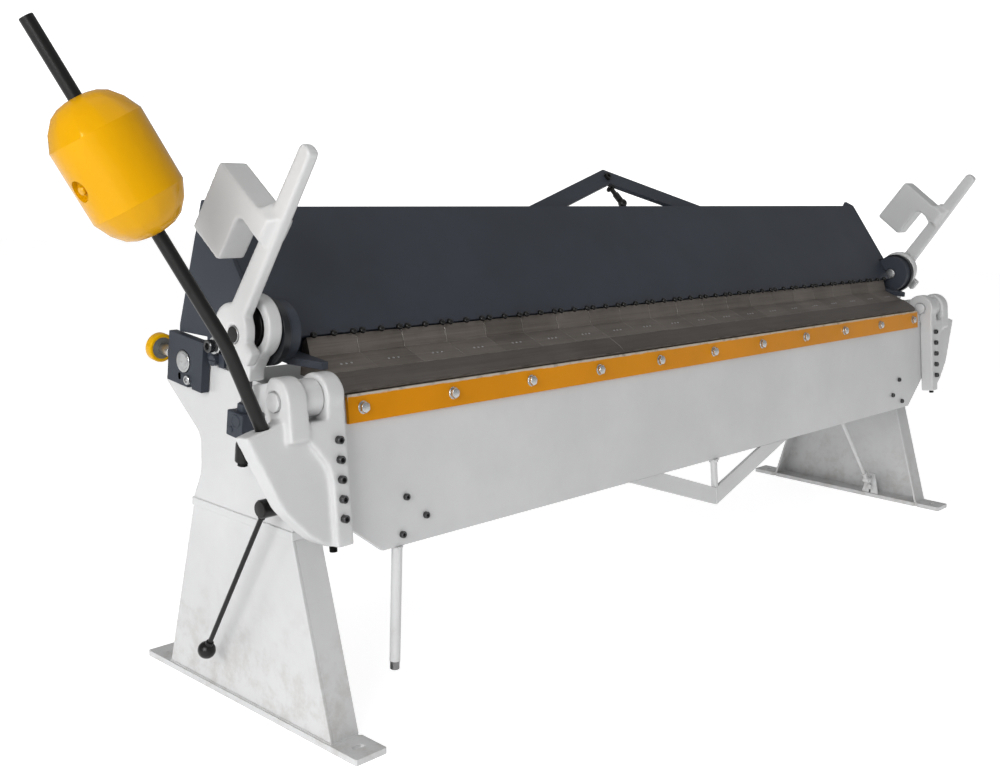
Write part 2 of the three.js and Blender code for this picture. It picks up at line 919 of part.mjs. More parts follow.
function makeUpperTrussArm() {
  const foot = frontPlateHeight;
  const skin = [frontPlateThickness + fitGap, frontPlateThickness + fitGap + upperTrussThickness];
  return plateAcrossY(
    [
      [upperTrussOuter, foot],
      [upperTrussOuter, foot - upperTrussTail],
      [upperTrussInner, foot - upperTrussTail],
      [upperTrussInner, foot],
      [fitGap / 2, foot + upperTrussInnerRise],
      [fitGap / 2, foot + upperTrussRise],
    ],
    skin,
  );
}

function makeTrussScrew() {
  const ball = new THREE.SphereGeometry(trussBallRadius, smallSides, boltSides);
  ball.translate(0, frontPlateThickness / 2, frontPlateHeight + trussBallRadius + fitGap);
  const head = frontPlateHeight + upperTrussInnerRise - trussScrewRadius;
  const screw = bar(
    [0, frontPlateThickness / 2, frontPlateHeight + trussBallRadius],
    [0, frontPlateThickness + upperTrussThickness / 2, head],
    trussScrewRadius,
    boltSides,
  );
  return join(ball, screw);
}

// Segmented upper tool

function segmentOutline(groove) {
  const footY = beamFootY + fitGap + groove;
  return [
    [footY, toolUnderside(footY)],
    [segmentBackY, toolUnderside(segmentBackY)],
    [segmentBackTopY, tableHeight + segmentBackTopRise],
    [segmentTopY + groove, tableHeight + segmentTopRise - groove],
    [segmentStepY + groove, tableHeight + segmentStepRise - groove],
    [footY, tableHeight + segmentFootRise - groove],
  ];
}

function makeSegmentRow() {
  const pitch = (2 * segmentEndX) / segmentCount;
  const core = plateAcrossX(segmentOutline(segmentGroove), [fitGap / 2, segmentEndX - segmentJoint]);
  const faces = [];
  for (let index = 0; index < segmentCount / 2; index += 1) {
    const from = index * pitch + segmentJoint / 2;
    faces.push(plateAcrossX(segmentOutline(0), [from, from + pitch - segmentJoint]));
  }
  return join(core, ...faces);
}

function makeNoseStrip(x) {
  const tip = tableHeight + sheetGap;
  const heelY = beamFootY - fitGap;
  return plateAcrossX(
    [
      [noseTipY, tip],
      [noseFlatY, tip],
      [heelY, tableHeight + noseHeelRise],
      [heelY, tableHeight + noseRise],
      [noseBevelY, tableHeight + noseBevelRise],
    ],
    x,
  );
}

// Clamp linkage

const strapLean = Math.atan2(swivelY - clampAxisY, clampAxisZ - swivelZ);
const strapLength = Math.hypot(swivelY - clampAxisY, clampAxisZ - swivelZ) + eccentricity;

function makeEccentricShaft() {
  const shaft = barAlongX([lugX[0] - shaftProud, leverX[1]], [0, 0], shaftRadius, largeSides);
  const offset = [-eccentricity * Math.sin(strapLean), eccentricity * Math.cos(strapLean)];
  const eccentric = barAlongX([ringX[0], ringX[1]], offset, eccentricRadius, largeSides);
  return join(shaft, eccentric);
}

// A block whose far end across x is a smaller rectangle than its near end.
function taperedBlock(x, y, z, farY, farZ) {
  const geometry = block(x, y, z);
  const place = geometry.getAttribute("position");
  const middle = [(x[0] + x[1]) / 2, (y[0] + y[1]) / 2, (z[0] + z[1]) / 2];
  for (let index = 0; index < place.count; index += 1) {
    if (Math.abs(place.getX(index) - x[0]) < Math.abs(place.getX(index) - x[1])) continue;
    place.setY(index, place.getY(index) < middle[1] ? farY[0] : farY[1]);
    place.setZ(index, place.getZ(index) < middle[2] ? farZ[0] : farZ[1]);
  }
  return geometry;
}

function makeClampLever() {
  const arm = plateAcrossX(
    [
      [leverRootFront, 0],
      [leverRootBack, 0],
      [leverTipBack, leverLength, leverTipRound],
      [leverTipFront, leverLength, leverTipRound],
    ],
    leverX,
  );
  const hub = barAlongX(leverX, [leverHubY, 0], leverHubRadius, largeSides);
  const nub = block(leverX, [nubFront, leverHubY], [nubLow, nubHigh]);
  const middle = (leverX[0] + leverX[1]) / 2;
  const balanceX = [middle - balanceThickness / 2, middle + balanceThickness / 2];
  const padTopFront = padFront + padSlopeFront;
  const balance = plateAcrossX(
    [
      [padTopFront, branchLow],
      [balanceFront, branchLow, branchRound],
      [balanceFront, balanceLow, balanceRound],
      [balanceBack, balanceLow, balanceRound],
      [balanceBack, balanceHigh, balanceRound],
      [padTopFront, balanceHigh],
    ],
    balanceX,
  );
  const pads = balanceX.map((far) => {
    const pad = taperedBlock(
      [0, balanceThickness / 2],
      [padFront, leverTipBack + padSlopeBack],
      [padLow, padHigh],
      [padTopFront, leverTipBack + padSlopeBack + padSlopeBack],
      [padLow + padSlopeLow, padHigh - padSlopeHigh],
    );
    const outward = far > middle ? pad : mirrored(pad);
    outward.translate(middle, 0, 0);
    return outward;
  });
  const bore = barAlongX(
    [leverX[0] - cutOverrun, leverX[1] + cutOverrun],
    [0, 0],
    shaftRadius + fitGap,
    largeSides,
  );
  return cut(join(arm, hub, nub, balance, ...pads), bore);
}

function makeClampStrap() {
  const middle = (swivelX[0] + swivelX[1]) / 2;
  const ring = barAlongX(ringX, [0, strapLength], ringRadius, largeSides);
  const ringBore = barAlongX(
    [ringX[0] - cutOverrun, ringX[1] + cutOverrun],
    [0, strapLength],
    eccentricRadius + ringPlay,
    largeSides,
  );
  const shank = block(
    [ringX[0] + shankInset, middle + strapRodRadius],
    [-shankDepth / 2, shankDepth / 2],
    [shankBottom, strapLength - eccentricRadius],
  );
  const rod = bar([middle, 0, -strapRodBelow], [middle, 0, shankBottom + strapRodRadius], strapRodRadius);
  const collarFrom = swivelSize / 2 + fitGap;
  const collar = bar(
    [middle, 0, collarFrom],
    [middle, 0, collarFrom + strapCollarHeight],
    strapCollarRadius,
    hexSides,
  );
  return join(cut(join(ring, shank), ringBore), rod, collar);
}

function makeSwivelBlock() {
  const middle = (swivelX[0] + swivelX[1]) / 2;
  const half = swivelSize / 2;
  const body = block(swivelX, [-half, half], [-half, half]);
  const trunnion = barAlongX([frameOuterX - trunnionDepth + turnGap, swivelX[0] + fitGap], [0, 0], trunnionRadius);
  const bore = bar([middle, 0, -swivelSize], [middle, 0, swivelSize], strapRodRadius + fitGap);
  return cut(join(body, trunnion), bore);
}

function makeSleeveNut() {
  const middle = (swivelX[0] + swivelX[1]) / 2;
  const top = -swivelSize / 2 - fitGap;
  const sleeve = bar([middle, 0, top - sleeveLength], [middle, 0, top], sleeveRadius);
  const bore = bar(
    [middle, 0, top - sleeveLength - cutOverrun],
    [middle, 0, top + cutOverrun],
    strapRodRadius + fitGap,
  );
  return cut(sleeve, bore);
}

// Folding beam

function railBoltPlaces() {
  const reach = halfWork - railBoltMargin;
  return Array.from({ length: railBoltCount }, (_, index) => -reach + (2 * reach * index) / (railBoltCount - 1));
}

function armBoltDrops() {
  return Array.from({ length: armBoltCount }, (_, index) => armBoltTop + index * armBoltPitch);
}

function boltHole(x, drop, radius) {
  const reach = flangeFront + cutOverrun;
  return bar([x, -reach, -drop], [x, reach, -drop], radius, boltSides);
}

const armBoltX = frameOuterX - armBoltInset;

function makeFoldPlate() {
  const end = halfWork + foldPlateEnd;
  const step = halfWork + foldPlateEarStep;
  const half = [
    [step, -foldPlateTop],
    [step, -foldPlateEarDrop],
    [end, -foldPlateEarDrop],
    [end, -foldChamferStart],
    [halfWork - foldChamferInset, -foldPlateBottom],
  ];
  const otherHalf = half.map(([x, z]) => [-x, z]).reverse();
  const plate = plateAcrossY([...half, ...otherHalf], [0, foldPlateThickness]);
  const railHoles = railBoltPlaces().map((x) => boltHole(x, railBoltDrop, railBoltRadius + boltPlay));
  const armHoles = [armBoltX, -armBoltX].flatMap((x) =>
    armBoltDrops().map((drop) => boltHole(x, drop, armBoltRadius + boltPlay)),
  );
  return cut(plate, ...railHoles, ...armHoles);
}

function makeFoldRail() {
  const rail = block([-halfWork, halfWork], [-railThickness, -fitGap], [-railBottom, -railTop]);
  return cut(rail, ...railBoltPlaces().map((x) => boltHole(x, railBoltDrop, railBoltRadius + boltPlay)));
}

function makeRailBolts() {
  const back = foldPlateThickness + fitGap;
  const strip = block(
    [-halfWork, halfWork],
    [back, back + backStripThickness],
    [-railBoltDrop - backStripHeight / 2, -railBoltDrop + backStripHeight / 2],
  );
  const face = -railThickness - fitGap;
  const bolts = railBoltPlaces().flatMap((x) => [
    bar([x, face - railBoltHeadHeight, -railBoltDrop], [x, face, -railBoltDrop], railBoltHead, hexSides),
    bar([x, face - fitGap, -railBoltDrop], [x, back + backStripThickness / 2, -railBoltDrop], railBoltRadius, boltSides),
  ]);
  return join(strip, ...bolts);
}

const rodDirection = new THREE.Vector3(
  rodBendReach - rodSocketReach,
  rodBendY - rodSocketY,
  rodBendRise + rodSocketDrop,
).normalize();

function rodStart() {
  const mouth = new THREE.Vector3(frameOuterX + rodSocketReach, rodSocketY, -rodSocketDrop);
  return mouth.addScaledVector(rodDirection, -rodSocketDepth);
}

function makeFoldArm(side) {
  const flangeInner = innerEarX[0];
  const flangeOuter = flangeInner + flangeEdge;
  const shoulder = halfWork + webShoulder;
  const web = plateAcrossY(
    [
      [flangeOuter, -armBottom],
      [flangeOuter, -webUnderBoss],
      [outerEarX[0], -webUnderBoss],
      [outerEarX[0], -webShoulderDrop],
      [shoulder, -webShoulderDrop],
      [frameOuterX + armCornerReach, -armCornerDrop],
      [frameOuterX + armElbowReach, -armElbowDrop, armElbowRound],
      [frameOuterX + armHeelReach, -armHeelDrop, armHeelRound],
    ],
    [-webFront, webBack],
  );
  const raised = plateAcrossY(
    [
      [flangeInner, -armBottom],
      [flangeInner, -webUnderBoss],
      [outerEarX[0] + fitGap, -webUnderBoss],
      [outerEarX[0] + fitGap, -outerEarDrop],
      [flangeOuter, -ribBendDrop, armElbowRound],
      [flangeOuter, -armBottom],
    ],
    [-flangeFront, -fitGap],
  );
  const innerEar = barAlongX(innerEarX, [0, 0], earRadius, largeSides);
  const outerEar = plateAcrossX(flatBackedRound(earRadius, outerEarBack), outerEarX);
  const innerNeck = block(innerEarX, [-flangeFront, -fitGap], [-webUnderBoss - cutOverrun, 0]);
  const outerNeck = block(outerEarX, [-earRadius, outerEarDepth - earRadius], [-outerEarDrop, 0]);
  const pinBore = barAlongX(
    [innerEarX[0] - cutOverrun, outerEarX[1] + cutOverrun],
    [0, 0],
    hingePinRadius + turnGap,
    largeSides,
  );
  const jackX = frameOuterX - jackScrewInset;
  const jackTop = -armBottom - jackScrewProud + jackScrewLength + turnGap;
  const jackBore = bar([jackX, jackScrewY, -armBottom - cutOverrun], [jackX, jackScrewY, jackTop], jackScrewRadius + fitGap);
  const holes = armBoltDrops().map((drop) => boltHole(armBoltX, drop, armBoltRadius + boltPlay));
  if (side === "left") {
    const start = rodStart().addScaledVector(rodDirection, -fitGap);
    const mouth = start.clone().addScaledVector(rodDirection, rodSocketDepth + cutOverrun + cutOverrun);
    holes.push(bar(start.toArray(), mouth.toArray(), weightRodRadius + fitGap));
  }
  return cut(join(web, raised, innerEar, outerEar, innerNeck, outerNeck), pinBore, jackBore, ...holes);
}

function makeArmBolts() {
  const back = foldPlateThickness + fitGap;
  const drops = armBoltDrops();
  const strip = block(
    [armBoltX - backStripHeight / 2, armBoltX + backStripHeight / 2],
    [back, back + backStripThickness],
    [-drops[armBoltCount - 1] - backStripHeight / 2, -drops[0] + backStripHeight / 2],
  );
  const face = -flangeFront - fitGap;
  const bolts = drops.flatMap((drop) => [
    bar([armBoltX, face - armBoltHeadHeight, -drop], [armBoltX, face, -drop], armBoltHeadRadius, boltSides),
    bar([armBoltX, face - fitGap, -drop], [armBoltX, back + backStripThickness / 2, -drop], armBoltRadius, boltSides),
  ]);
  return join(strip, ...bolts);
}

function makeJackScrew() {
  const x = frameOuterX - jackScrewInset;
  const bottom = -armBottom - jackScrewProud;
  return bar([x, jackScrewY, bottom], [x, jackScrewY, bottom + jackScrewLength], jackScrewRadius);
}

function makeLowerTrussArm() {
  const top = -foldPlateBottom - fitGap;
  return plateAcrossY(
    [
      [lowerTrussOuter, top],
      [lowerTrussInner, top],
      [fitGap / 2, -foldPlateBottom - lowerTrussInnerDepth],
      [fitGap / 2, -foldPlateBottom - lowerTrussDepth],
    ],
    [lowerTrussSkin, foldPlateThickness - lowerTrussSkin],
  );
}

function makeTrussStrut() {
  const y = foldPlateThickness / 2;
  const top = -foldPlateBottom - fitGap;
  const bottom = -foldPlateBottom - lowerTrussInnerDepth;
  const slope = lowerTrussInnerDepth / lowerTrussInner;
  const tube = bar([0, y, bottom + slope * strutRadius + fitGap], [0, y, top - strutNutHeight / 2], strutRadius);
  const nut = bar([0, y, top - strutNutHeight], [0, y, top], strutNutRadius, hexSides);
  return join(tube, nut);
}

// The handle bar hangs plumb from the tilted plate, so its top is cut along the plate's edge.
function makeHandleBar() {
  const x = halfWork - handleInset;
  const y = foldPlateThickness / 2;
  const top = -foldPlateBottom - fitGap;
  const tube = bar([0, 0, -handleLength], [0, 0, cutOverrun], handleRadius);
  const tip = bar([0, 0, -handleLength - handleTipLength], [0, 0, -handleLength / 2], handleTipRadius);
  const hanging = join(tube, tip);
  hanging.rotateX(foldTilt);
  hanging.translate(x, y, top);
  const reach = handleRadius + cutOverrun;
  return cut(hanging, block([x - reach, x + reach], [y - reach, y + reach], [top, top + reach + cutOverrun]));
}

// Counterweight rod: straight from the socket to the bend, then straight to its top.

function rodPoints() {
  const start = rodStart();
  const bend = new THREE.Vector3(frameOuterX + rodBendReach, rodBendY, rodBendRise);
  const top = new THREE.Vector3(frameOuterX + rodTopReach, rodTopY, rodTopRise);
  return { start, bend, top };
}

function makeWeightRod() {
  const { start, bend, top } = rodPoints();
  const enter = bend.clone().sub(start).setLength(bend.distanceTo(start) - rodBendRound).add(start);
  const leave = top.clone().sub(bend).setLength(rodBendRound).add(bend);
  const route = new THREE.CurvePath();
  route.add(new THREE.LineCurve3(start, enter));
  route.add(new THREE.QuadraticBezierCurve3(enter, bend, leave));
  route.add(new THREE.LineCurve3(leave, top));
  const section = new THREE.Shape();
  section.absarc(0, 0, weightRodRadius, 0, 2 * Math.PI);
  return new THREE.ExtrudeGeometry(section, { steps: rodSteps, curveSegments: hexSides, extrudePath: route });
}

function makeCounterweight() {
  const bore = weightRodRadius + weightPlay;
  const half = weightLength / 2;
  const profile = [new THREE.Vector2(bore, -half)];
  const domeSteps = 5;
  for (let step = 0; step <= domeSteps; step += 1) {
    const angle = (step / domeSteps) * (Math.PI / 2);
    const radius = weightEndRadius + (weightRadius - weightEndRadius) * Math.sin(angle);
    profile.push(new THREE.Vector2(radius, -half + weightDome * (1 - Math.cos(angle))));
  }
  const mirroredEnd = profile.map((point) => new THREE.Vector2(point.x, -point.y)).reverse();
  profile.push(...mirroredEnd, profile[0].clone());
  const weight = new THREE.LatheGeometry(profile, largeSides);
  const { bend, top } = rodPoints();
  const direction = top.clone().sub(bend).normalize();
  const recess = bar([0, 0, weightRadius - grubRecessDepth], [0, 0, weightRadius + cutOverrun], grubRecessRadius);
  const body = cut(weight, recess);
  body.rotateY(grubTurn);
  body.applyQuaternion(new THREE.Quaternion().setFromUnitVectors(axisY, direction));
  const centre = bend.clone().addScaledVector(direction, weightAlongRod);
  body.translate(centre.x, centre.y, centre.z);
  return body;
}

function makeLockLever() {
  const rodX = frameOuterX + lockHubLength - lockRodInset;
  const stub = barAlongX([frameOuterX - lockStubDepth, frameOuterX + lockHubLength / 2], [lockY, lockZ], lockStubRadius);
  const hub = barAlongX([frameOuterX + fitGap, frameOuterX + lockHubLength], [lockY, lockZ], lockHubRadius);
  const rod = bar([rodX, lockY, lockZ], [rodX, lockBallY, lockBallZ], lockRodRadius, boltSides);
  const ball = new THREE.SphereGeometry(lockBallRadius, smallSides, boltSides);
  ball.translate(rodX, lockBallY, lockBallZ);
  return join(stub, hub, rod, ball);
}

// Assembly

const machine = new THREE.Group();

addPair(machine, "foot", makeFoot, paint.light);
addPair(machine, "stand_web", makeStandWeb, paint.light);
addPair(machine, "stand_front_flange", () => makeStandFlange(standBottomFrontY, standTopFrontY, 1), paint.light);
addPair(machine, "stand_back_flange", () => makeStandFlange(standBottomBackY, standTopBackY, -1), paint.light);
addPair(machine, "side_frame", makeSideFrame, paint.light);
addPair(machine, "hinge_pin", makeHingePin, paint.light);
addPair(machine, "rear_pivot_pin", makePivotPin, paint.zinc);
addPiece(machine, "tie_rod_right", makeTieRod(), paint.light);
addPiece(machine, "bed_table", makeBedTable(), paint.light);
addPiece(machine, "bed_web", makeBedWeb(), paint.light);
addPiece(machine, "bed_blade", makeBedBlade(), paint.blade);
addPiece(machine, "lock_lever", mirrored(makeLockLever()), paint.black);

addPiece(machine, "upper_base", makeUpperBase(), paint.slate);
addPiece(machine, "upper_front_plate", makeFrontPlate(), paint.slate);
addPair(machine, "upper_end_plate", makeEndPlate, paint.slate);
const bearing = frameAt(machine, pivotY, pivotZ, blockTilt);
addPair(bearing, "bearing_block", makeBearingBlock, paint.slate);
addPair(bearing, "setback_wheel", makeSetbackWheel, paint.yellow);
const slope = frameAt(machine, frontPlateY, tableHeight + frontPlateRise, -frontPlateLean);
addPair(slope, "upper_truss_arm", makeUpperTrussArm, paint.slate);
addPiece(slope, "upper_truss_screw", makeTrussScrew(), paint.black);
addPair(machine, "tool_segments", makeSegmentRow, paint.blade);
const noseEnd = halfWork + noseMargin;
const noseJoint = -noseEnd * noseJointShare;
addPiece(machine, "nose_strip_left", makeNoseStrip([-noseEnd, noseJoint - fitGap]), paint.blade);
addPiece(machine, "nose_strip_right", makeNoseStrip([noseJoint, noseEnd]), paint.blade);

const clamp = frameAt(machine, clampAxisY, clampAxisZ, 0);
addPair(clamp, "eccentric_shaft", makeEccentricShaft, paint.zinc);
const leverFrame = frameAt(machine, clampAxisY, clampAxisZ, leverLean);
addPair(leverFrame, "clamp_lever", makeClampLever, paint.light);
const strapFrame = frameAt(machine, swivelY, swivelZ, strapLean);
addPair(strapFrame, "clamp_strap", makeClampStrap, paint.light);
addPair(strapFrame, "swivel_block", makeSwivelBlock, paint.slate);
addPair(strapFrame, "sleeve_nut", makeSleeveNut, paint.black);

const fold = frameAt(machine, foldAxisY, foldAxisZ, -foldTilt);
addPiece(fold, "fold_plate", makeFoldPlate(), paint.light);
addPiece(fold, "fold_rail", makeFoldRail(), paint.ochre);
addPiece(fold, "rail_bolts", makeRailBolts(), paint.zinc);
addPair(fold, "fold_arm", makeFoldArm, paint.light);
addPair(fold, "arm_bolts", makeArmBolts, paint.black);
addPair(fold, "jack_screw", makeJackScrew, paint.black);
addPair(fold, "lower_truss_arm", makeLowerTrussArm, paint.light);
addPiece(fold, "lower_truss_strut", makeTrussStrut(), paint.light);
addPiece(fold, "handle_bar", mirrored(makeHandleBar()), paint.light);
addPiece(fold, "counterweight_rod", mirrored(makeWeightRod()), paint.black);
addPiece(fold, "counterweight", mirrored(makeCounterweight()), paint.yellow);

// The origin is the middle of the floor area that the machine covers.
machine.updateMatrixWorld(true);
const extent = new THREE.Box3().setFromObject(machine, true);
machine.position.set(-(extent.min.x + extent.max.x) / 2, -(extent.min.y + extent.max.y) / 2, -extent.min.z);

const folder = new THREE.Group();
folder.add(machine);

export default folder;
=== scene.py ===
"""Hand-operated sheet metal folder, dressed for the studio.

Every piece is drawn in millimetres, as on a shop drawing: x runs along the
machine from its middle, y to the back, and z up from the floor. A piece is set
into the shared frame when it is published. The right end is drawn, and the left
end is its mirror image.
"""

from __future__ import annotations

import json
import logging
import math
from dataclasses import dataclass
from enum import Enum
from typing import Any, Iterable, Sequence

import bmesh
import bpy
from mathutils import Matrix, Vector

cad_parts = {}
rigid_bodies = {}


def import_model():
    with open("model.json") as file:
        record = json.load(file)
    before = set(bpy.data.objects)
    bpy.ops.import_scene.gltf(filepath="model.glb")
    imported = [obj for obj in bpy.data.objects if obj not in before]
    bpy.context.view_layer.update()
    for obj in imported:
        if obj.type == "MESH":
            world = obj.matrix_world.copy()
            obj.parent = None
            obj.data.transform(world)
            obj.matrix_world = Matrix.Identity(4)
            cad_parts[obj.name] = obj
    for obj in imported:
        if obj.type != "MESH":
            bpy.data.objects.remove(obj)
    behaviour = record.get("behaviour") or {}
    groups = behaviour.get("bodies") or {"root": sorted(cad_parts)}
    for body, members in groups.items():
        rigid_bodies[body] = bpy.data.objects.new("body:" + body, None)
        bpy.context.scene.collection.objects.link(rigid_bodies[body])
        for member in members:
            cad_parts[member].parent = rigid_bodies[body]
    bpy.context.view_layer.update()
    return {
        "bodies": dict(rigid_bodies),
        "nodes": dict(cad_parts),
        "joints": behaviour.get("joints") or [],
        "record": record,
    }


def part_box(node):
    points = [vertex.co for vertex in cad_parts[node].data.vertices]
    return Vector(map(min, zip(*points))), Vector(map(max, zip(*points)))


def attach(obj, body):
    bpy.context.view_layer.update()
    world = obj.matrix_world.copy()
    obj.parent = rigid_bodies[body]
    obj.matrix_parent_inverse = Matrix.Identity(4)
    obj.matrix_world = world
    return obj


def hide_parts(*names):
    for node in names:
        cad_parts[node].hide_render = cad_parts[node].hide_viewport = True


LOG = logging.getLogger("folder")
METRES = 0.001
Point = Sequence[float]
Span = tuple[float, float]
Profile = Sequence[Span]
Colour = tuple[float, float, float, float]

ORIGIN = (0.0, 0.0, 0.0)
OUTWARD = (1.0, 0.0, 0.0)
REARWARD = (0.0, 1.0, 0.0)
FORWARD = (0.0, -1.0, 0.0)
UPWARD = (0.0, 0.0, 1.0)

# Radius, height, washer radius and washer height of bolt heads
FRAME_BOLT = (11, 7, 13, 2)
TIE_BOLT = (12, 7, 14, 2)
RAIL_BOLT = (14, 9, 15.5, 2)


# Drawing


class Side(Enum):
    """The two ends of the machine."""

    LEFT = -1
    RIGHT = 1

    @property
    def suffix(self) -> str:
        """The ending of the names of pieces at this end."""
        return self.name.lower()


def turned(y: float, z: float, degrees: float) -> Matrix:
    """Gives the frame of pieces that are drawn level but stand turned about x.

    Args:
        y: Depth of the frame's origin.
        z: Height of the frame's origin.
        degrees: Turn about x.

    Returns:
        The matrix from that frame to the drawing.
    """
    return Matrix.Translation((0, y, z)) @ Matrix.Rotation(math.radians(degrees), 4, "X")


@dataclass(frozen=True)
class Drawing:
    """Sizes and places that several sub-assemblies share, in millimetres."""

    frame_outer: float = 1620.0
    foot_front: float = -317.0
    fold_y: float = -141.0
    fold_z: float = 826.5
    clamp_y: float = 9.0
    clamp_z: float = 958.0
    swivel_y: float = 30.0
    swivel_z: float = 745.0
    pivot_y: float = 331.0
    pivot_z: float = 847.0
    face_y: float = 8.0
    face_z: float = 939.0
    fold_tilt: float = 7.0
    face_lean: float = 36.65
    beam_tilt: float = 5.7

    @property
    def strap_lean(self) -> float:
        """Lean of the clamp straps, in degrees."""
        return math.degrees(math.atan2(self.swivel_y - self.clamp_y, self.clamp_z - self.swivel_z))

    @property
    def fold(self) -> Matrix:
        """Frame of the folding beam, hanging from its axis."""
        return turned(self.fold_y, self.fold_z, -self.fold_tilt)

    @property
    def clamp(self) -> Matrix:
        """Frame of the clamp shafts."""
        return turned(self.clamp_y, self.clamp_z, 0)

    @property
    def strap(self) -> Matrix:
        """Frame of the clamp straps, standing on their swivels."""
        return turned(self.swivel_y, self.swivel_z, self.strap_lean)

    @property
    def face(self) -> Matrix:
        """Frame of the upper beam's front plate, with z up along it."""
        return turned(self.face_y, self.face_z, -self.face_lean)

    @property
    def bearing(self) -> Matrix:
        """Frame of the rear bearings."""
        return turned(self.pivot_y, self.pivot_z, self.beam_tilt)

    def into_row(self) -> Matrix:
        """Gives the matrix from the drawing to the shared frame, in metres.

        Returns:
            The matrix.
        """
        rail_low, rail_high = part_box("fold_rail")
        foot_low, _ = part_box("foot_left")
        shift = Vector(((rail_low.x + rail_high.x) / 2, foot_low.y - self.foot_front * METRES, 0))
        return Matrix.Translation(shift) @ Matrix.Scale(METRES, 4)


# Modelling


def aimed(at: Point, along: Point) -> Matrix:
    """Gives the matrix that carries +z at the origin to a place and direction."""
    return Matrix.Translation(Vector(at)) @ Vector(along).to_track_quat("Z", "Y").to_matrix().to_4x4()


def faces_round(verts: Iterable[bmesh.types.BMVert]) -> list[bmesh.types.BMFace]:
    """Gives the faces that touch some vertices, each once."""
    return list(dict.fromkeys(face for vert in verts for face in vert.link_faces))


class Shape:
    """A mesh being modelled, in the drawing's millimetres.

    Faces that come from rounding an edge carry a mark, which the finishes read
    as wear, and the ground steel also as a painted edge highlight. Vertices in
    the same place are merged, and nearly flat edges of a solid are joined.
    Methods that change the shape give it back, so that calls chain.
    """

    MARK = "edge"
    SAME_PLACE = 0.02
    SAME_TURNED_PLACE = 0.005
    FLAT = math.radians(0.6)

    def __init__(self) -> None:
        """Starts with nothing."""
        self.bm = bmesh.new()
        self.bm.faces.layers.float.new(self.MARK)

    @staticmethod
    def of_mesh(mesh: bpy.types.Mesh, matrix: Matrix) -> "Shape":
        """Starts from a copy of a mesh, with its loose triangles merged.

        Args:
            mesh: The mesh to copy.
            matrix: Carries the mesh into the drawing.

        Returns:
            The copy, with flat faces joined.
        """
        shape = Shape()
        shape.bm.from_mesh(mesh)
        shape.place(matrix)
        bmesh.ops.remove_doubles(shape.bm, verts=shape.bm.verts[:], dist=Shape.SAME_PLACE)
        bmesh.ops.dissolve_limit(
            shape.bm, angle_limit=Shape.FLAT, verts=shape.bm.verts[:], edges=shape.bm.edges[:]
        )
        return shape

    def place(self, matrix: Matrix) -> "Shape":
        """Moves the whole shape."""
        bmesh.ops.transform(self.bm, matrix=matrix, verts=self.bm.verts[:])
        return self

    def block(self, x: Span, y: Span, z: Span) -> "Shape":
        """Adds a block between two limits on each axis.

        Args:
            x: Its limits along the machine.
            y: Its limits in depth.
            z: Its limits in height.

        Returns:
            The shape itself.
        """
        spans = [Vector(limits) for limits in (x, y, z)]
        centre = Vector([(low + high) / 2 for low, high in spans])
        size = Matrix.Diagonal([high - low for low, high in spans] + [1.0])
        bmesh.ops.create_cube(self.bm, size=1.0, matrix=Matrix.Translation(centre) @ size)
        return self

    def rod(
        self, start: Point, end: Point, radius: float, sides: int = 32, tip: float | None = None
    ) -> "Shape":
        """Adds a round bar, or a taper where a tip radius is given.

        Args:
            start: Middle of one end.
            end: Middle of the other end.
            radius: Radius, at the start where there is a taper.
            sides: Facets round it.
            tip: Radius at the end, or None for a plain bar.

        Returns:
            The shape itself.
        """
        run = Vector(end) - Vector(start)
        bmesh.ops.create_cone(
            self.bm,
            cap_ends=True,
            segments=sides,
            radius1=radius,
            radius2=radius if tip is None else tip,
            depth=run.length,
            matrix=aimed((Vector(start) + Vector(end)) / 2, run),
        )
        return self

    def ball(self, centre: Point, radius: float, along: Point = UPWARD) -> "Shape":
        """Adds a ball with its poles along a direction.

        Args:
            centre: Its middle.
            radius: Its radius.
            along: Direction of its poles.

        Returns:
            The shape itself.
        """
        bmesh.ops.create_uvsphere(
            self.bm, u_segments=32, v_segments=18, radius=radius, matrix=aimed(centre, along)
        )
        return self

    def plate(self, corners: Profile, x: Span) -> "Shape":
        """Adds a plate across x from an outline in y and z.

        Args:
            corners: The outline's corners, in y and z.
            x: The limits of its thickness.

        Returns:
            The shape itself.
        """
        made = [self.bm.verts.new((x[0], y, z)) for y, z in corners]
        face = self.bm.faces.new(made)
        moved = bmesh.ops.extrude_face_region(self.bm, geom=[face])["geom"]
        fresh = [part for part in moved if isinstance(part, bmesh.types.BMVert)]
        bmesh.ops.translate(self.bm, verts=fresh, vec=(x[1] - x[0], 0, 0))
        bmesh.ops.recalc_face_normals(self.bm, faces=faces_round(made + fresh))
        return self

    def lathe(self, profile: Profile, at: Point = ORIGIN, along: Point = UPWARD, steps: int = 48) -> "Shape":
        """Adds a turned piece.

        Args:
            profile: Radii and heights along the outline, closed for a ring.
            at: Where height zero sits.
            along: Direction of the axis.
            steps: Facets round it.

        Returns:
            The shape itself.
        """
        made = [self.bm.verts.new((radius, 0, height)) for radius, height in profile]
        edges = [self.bm.edges.new(pair) for pair in zip(made, made[1:])]
        spun = bmesh.ops.spin(
            self.bm,
            geom=made + edges,
            cent=ORIGIN,
            axis=UPWARD,
            angle=2 * math.pi,
            steps=steps,
            use_merge=True,
        )
        last = [part for part in spun["geom_last"] if isinstance(part, bmesh.types.BMVert)]
        whole = self._island(last + [vert for vert in made if vert.is_valid])
        bmesh.ops.remove_doubles(self.bm, verts=whole, dist=self.SAME_TURNED_PLACE)
        whole = self._island([vert for vert in whole if vert.is_valid][:1])
        bmesh.ops.recalc_face_normals(self.bm, faces=faces_round(whole))
        bmesh.ops.transform(self.bm, matrix=aimed(at, along), verts=whole)
        return self

